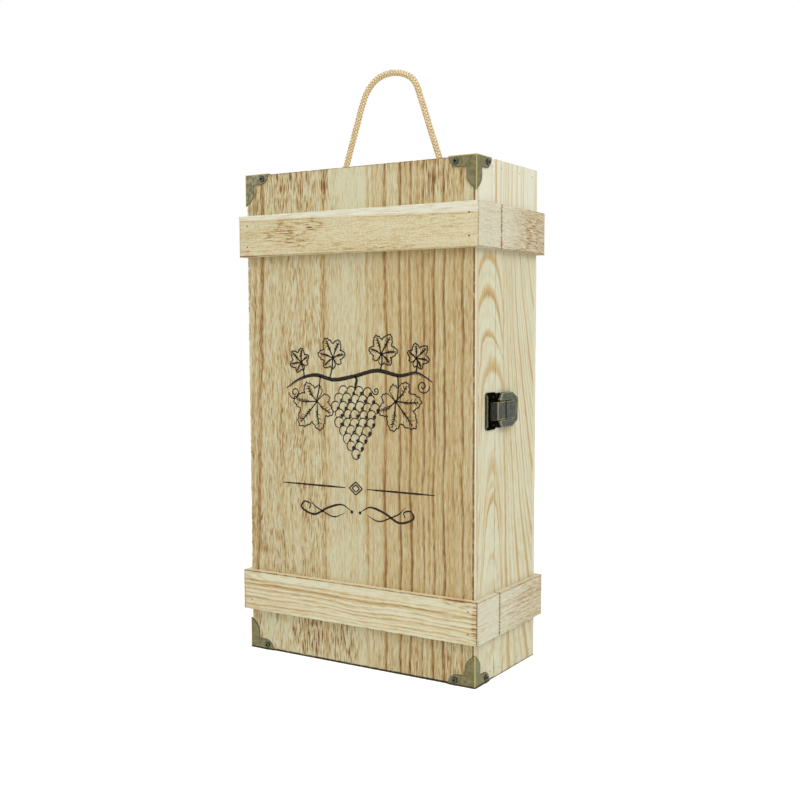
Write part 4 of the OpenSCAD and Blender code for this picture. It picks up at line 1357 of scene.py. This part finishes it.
def drawBunch(bm, spec):
    # grapes in rows, the later ones in front, so that each hides part of its neighbours' outline
    dice = random.Random(spec["grapeSeed"])
    radius, shift = spec["grapeRadius"], spec["grapeShift"]
    x0, z0 = spec["bunch"]
    aside, down = spec["grapeSpacing"]
    grapes = []
    for row, count in enumerate(spec["rows"]):
        for k in range(count):
            x = x0 + (k - (count - 1) / 2) * radius * aside + dice.uniform(-shift, shift)
            z = z0 - row * radius * down + dice.uniform(-shift, shift)
            grapes.append((x, z, radius * dice.uniform(0.92, 1.06)))
    for i, (x, z, r) in enumerate(grapes):
        shown = []
        for k in range(74):
            turn = math.radians(5 * k)
            point = (x + r * math.cos(turn), z + r * math.sin(turn))
            if k < 73 and not hidden(point, grapes[i + 1:], 1):
                shown.append(point)
                continue
            if len(shown) > 3:
                penLine(bm, shown, 0.5, seed=i)
            shown = []
        # shading on the lower right, where no later grape lies over it
        for depth, spread in spec["grapeHatch"]:
            hatch = [p for p in arcPoints(x, z, r * depth, -30 - spread, -30 + spread)
                     if not hidden(p, grapes[i + 1:], 1.05)]
            if len(hatch) > 3:
                penLine(bm, hatch, 0.42, 0.2, 0.2, seed=i + depth)


def drawLeaf(bm, lobes, x, z, size, turn, seed):
    # a vine leaf with five toothed lobes, its veins and hatching on one side of each
    def spot(angle, reach):
        a = math.radians(angle + turn)
        return (x + size * reach * math.cos(a), z + size * reach * math.sin(a))
    outline = []
    for k in range(-174, 175, 2):
        lobe = max(reach * (1 - 0.36 * (abs(k - angle) / 27) ** 1.3) for angle, reach in lobes)
        tooth = 0.075 * (1 - (k % 10) / 10.0)
        outline.append(spot(k, lobe + tooth))
    stem = spot(180, 0.08)
    penLine(bm, [stem] + outline + [stem], 0.55, 0.8, 0.8, seed)
    for angle, tip in lobes[1:-1]:
        vein = [stem, spot(angle * 0.96, tip * 0.5), spot(angle, tip * 0.93)]
        penLine(bm, vein, 0.6, 1.0, 0.2, seed)
        for along in (0.4, 0.58, 0.74):
            for lean in (-1, 1):
                start = spot(angle, tip * along)
                end = spot(angle + lean * 17 * (1 - 0.5 * along), tip * (along + 0.13))
                penLine(bm, [start, midway(start, end), end], 0.34, 0.9, 0.2, seed)
        for k in range(7):
            along = 0.3 + 0.09 * k
            lean = 3 + 11 * (1 - along)
            hatch = [spot(angle - turned, tip * (along + further))
                     for turned, further in ((2, 0), (0.5 * lean, 0.05), (lean, 0.09))]
            penLine(bm, hatch, 0.5, 0.9, 0.3, seed + k)


def drawTendril(bm, x, z, size, turns, flip, seed):
    points = []
    for k in range(int(turns * 24)):
        a = k * math.pi / 12
        r = size * math.exp(-0.17 * a)
        points.append((x + flip * (size - r * math.cos(a)), z - r * math.sin(a) * 1.05))
    penLine(bm, points, 0.55, 0.8, 0.3, seed)


def drawOrnament(bm, spec):
    # two rules with a diamond between them, and a flourish below
    z = spec["ruleHeight"]
    for low, high in spec["rules"]:
        penLine(bm, [(low + (high - low) * k / 20, z) for k in range(21)], 0.75, 0.5, 0.5, low)
    for size in (4.6, 2.6):
        diamond = [(0, z + size), (size * 1.2, z), (0, z - size), (-size * 1.2, z), (0, z + size)]
        for a, b in zip(diamond, diamond[1:]):
            penLine(bm, [a, midway(a, b), b], 0.6, 0.9, 0.9, size)
    z = spec["flourishHeight"]
    for flip in (-1, 1):
        for part, wide, end, seed in (("loop", 0.95, 0.5, 20), ("sweep", 0.6, 0.2, 30)):
            line = curvePoints([(flip * x, z + dz) for x, dz in spec[part]], 0.9)
            penLine(bm, line, wide, 0.2, end, seed + flip)
        penLine(bm, arcPoints(flip * 3.4, z, 0.6, 0, 360), 0.7, 1, 1, 2)


def inkMaterial(spec):
    material, tree, shader, x, y, z = placedMaterial("worn_ink")
    thin = remap(softNoise((x, y, z * 0.4), 1.3, 3.0, 0.6), 0.56, 0.72, 0.0, 0.5)
    feed(shader, {
        "Base Color": mixColour(thin, spec["colour"], spec["rubbed"]), "Roughness": 0.75,
        "Specular IOR Level": 0.2})
    return material


def drawDesign(spec):
    bm = bmesh.new()
    branch = curvePoints(spec["branch"])
    penLine(bm, branch, spec["branchWide"], 0.3, 0.3, 3)
    penLine(bm, [(p[0], p[1] - 1.2) for p in branch[3:-6]], 0.35, 0.4, 0.4, 7)
    penLine(bm, curvePoints(spec["stalk"], 0.8), 1.2, 0.9, 0.6, 4)
    drawBunch(bm, spec)
    for x, z, size, turn, seed in spec["leaves"]:
        drawLeaf(bm, spec["lobes"], x, z, size, turn, seed)
        nearest = min(branch, key=lambda p: math.dist(p, (x, z)))
        bent = ((nearest[0] + x) / 2 + 0.8, (nearest[1] + z) / 2)
        penLine(bm, curvePoints([nearest, bent, (x, z)], 0.8), 0.7, 1.0, 0.6, seed)
    for tendril in spec["tendrils"]:
        drawTendril(bm, *tendril)
    drawOrnament(bm, spec)
    bmesh.ops.recalc_face_normals(bm, faces=bm.faces)
    mesh = meshOf(bm, "printed_design")
    addPiece("printed_design", mesh, inkMaterial(spec), "lid")
    print("design drawn with", len(mesh.vertices), "points")


drawDesign(ink)


# floor, light and backdrop

studio = {
    "floorColour": rgb(232, 232, 230),
    "floorLift": 0.54,
    "floorReach": 6.0,
    "floorHeight": -0.0001,
    "contactReach": 0.0022,
    # colour of the painted contact shadow on the floor
    "contactColour": rgb(96, 86, 58),
    "worldLight": 0.6,
    "lamps": [
        # name, place, size, power
        ("key", (1.3, -0.9, 1.5), 1.4, 21.0),
        ("fill", (-1.2, -1.5, 0.9), 1.6, 2.5),
        ("top", (0.1, -0.5, 1.9), 1.2, 7.0),
    ],
    "target": (0.0, 0.0, 0.18),
}


def cameraSees(tree):
    rays = outputsOf(addNode(tree, "ShaderNodeLightPath"))
    return larger(rays["Is Camera Ray"], rays["Is Glossy Ray"], rays["Is Transmission Ray"])


def makeBackdrop(spec):
    world = bpy.data.worlds.new("studio")
    bpy.context.scene.world = world
    world.use_nodes = True
    tree = world.node_tree
    strength = remap(cameraSees(tree), 0.0, 1.0, spec["worldLight"], 1.0, smooth=False)
    feed(tree.nodes["Background"], {"Color": (1, 1, 1, 1), "Strength": strength})


def makeFloor(spec):
    material, tree, shader = newMaterial("pale_floor")
    # painted contact shadow: ambient occlusion near the box darkens the floor's colour and its glow
    # to the camera
    contact = result(
        tree, "ShaderNodeAmbientOcclusion", {"Distance": spec["contactReach"]}, "AO", samples=8)
    free = remap(contact, 0.4, 0.9)
    feed(shader, {
        "Base Color": mixColour(free, spec["contactColour"], spec["floorColour"]), "Roughness": 0.9,
        "Specular IOR Level": 0.1, "Emission Color": (1, 1, 1, 1),
        "Emission Strength": cameraSees(tree) * (free * spec["floorLift"])})
    mesh = bpy.data.meshes.new("floor")
    reach = spec["floorReach"]
    corners = [(-reach, -reach, 0), (reach, -reach, 0), (reach, reach, 0), (-reach, reach, 0)]
    mesh.from_pydata(corners, [], [(0, 1, 2, 3)])
    mesh.materials.append(material)
    floor = newObject("floor", mesh)
    floor.location.z = spec["floorHeight"]


def makeLamps(spec):
    for name, place, size, power in spec["lamps"]:
        data = bpy.data.lights.new(name, "AREA")
        data.shape = "DISK"
        data.size = size
        data.energy = power
        lamp = newObject(name, data)
        lamp.location = place
        looks = Vector(spec["target"]) - Vector(place)
        lamp.rotation_euler = looks.to_track_quat("-Z", "Y").to_euler()


makeBackdrop(studio)
makeFloor(studio)
makeLamps(studio)
bpy.context.scene.view_settings.view_transform = "Standard"
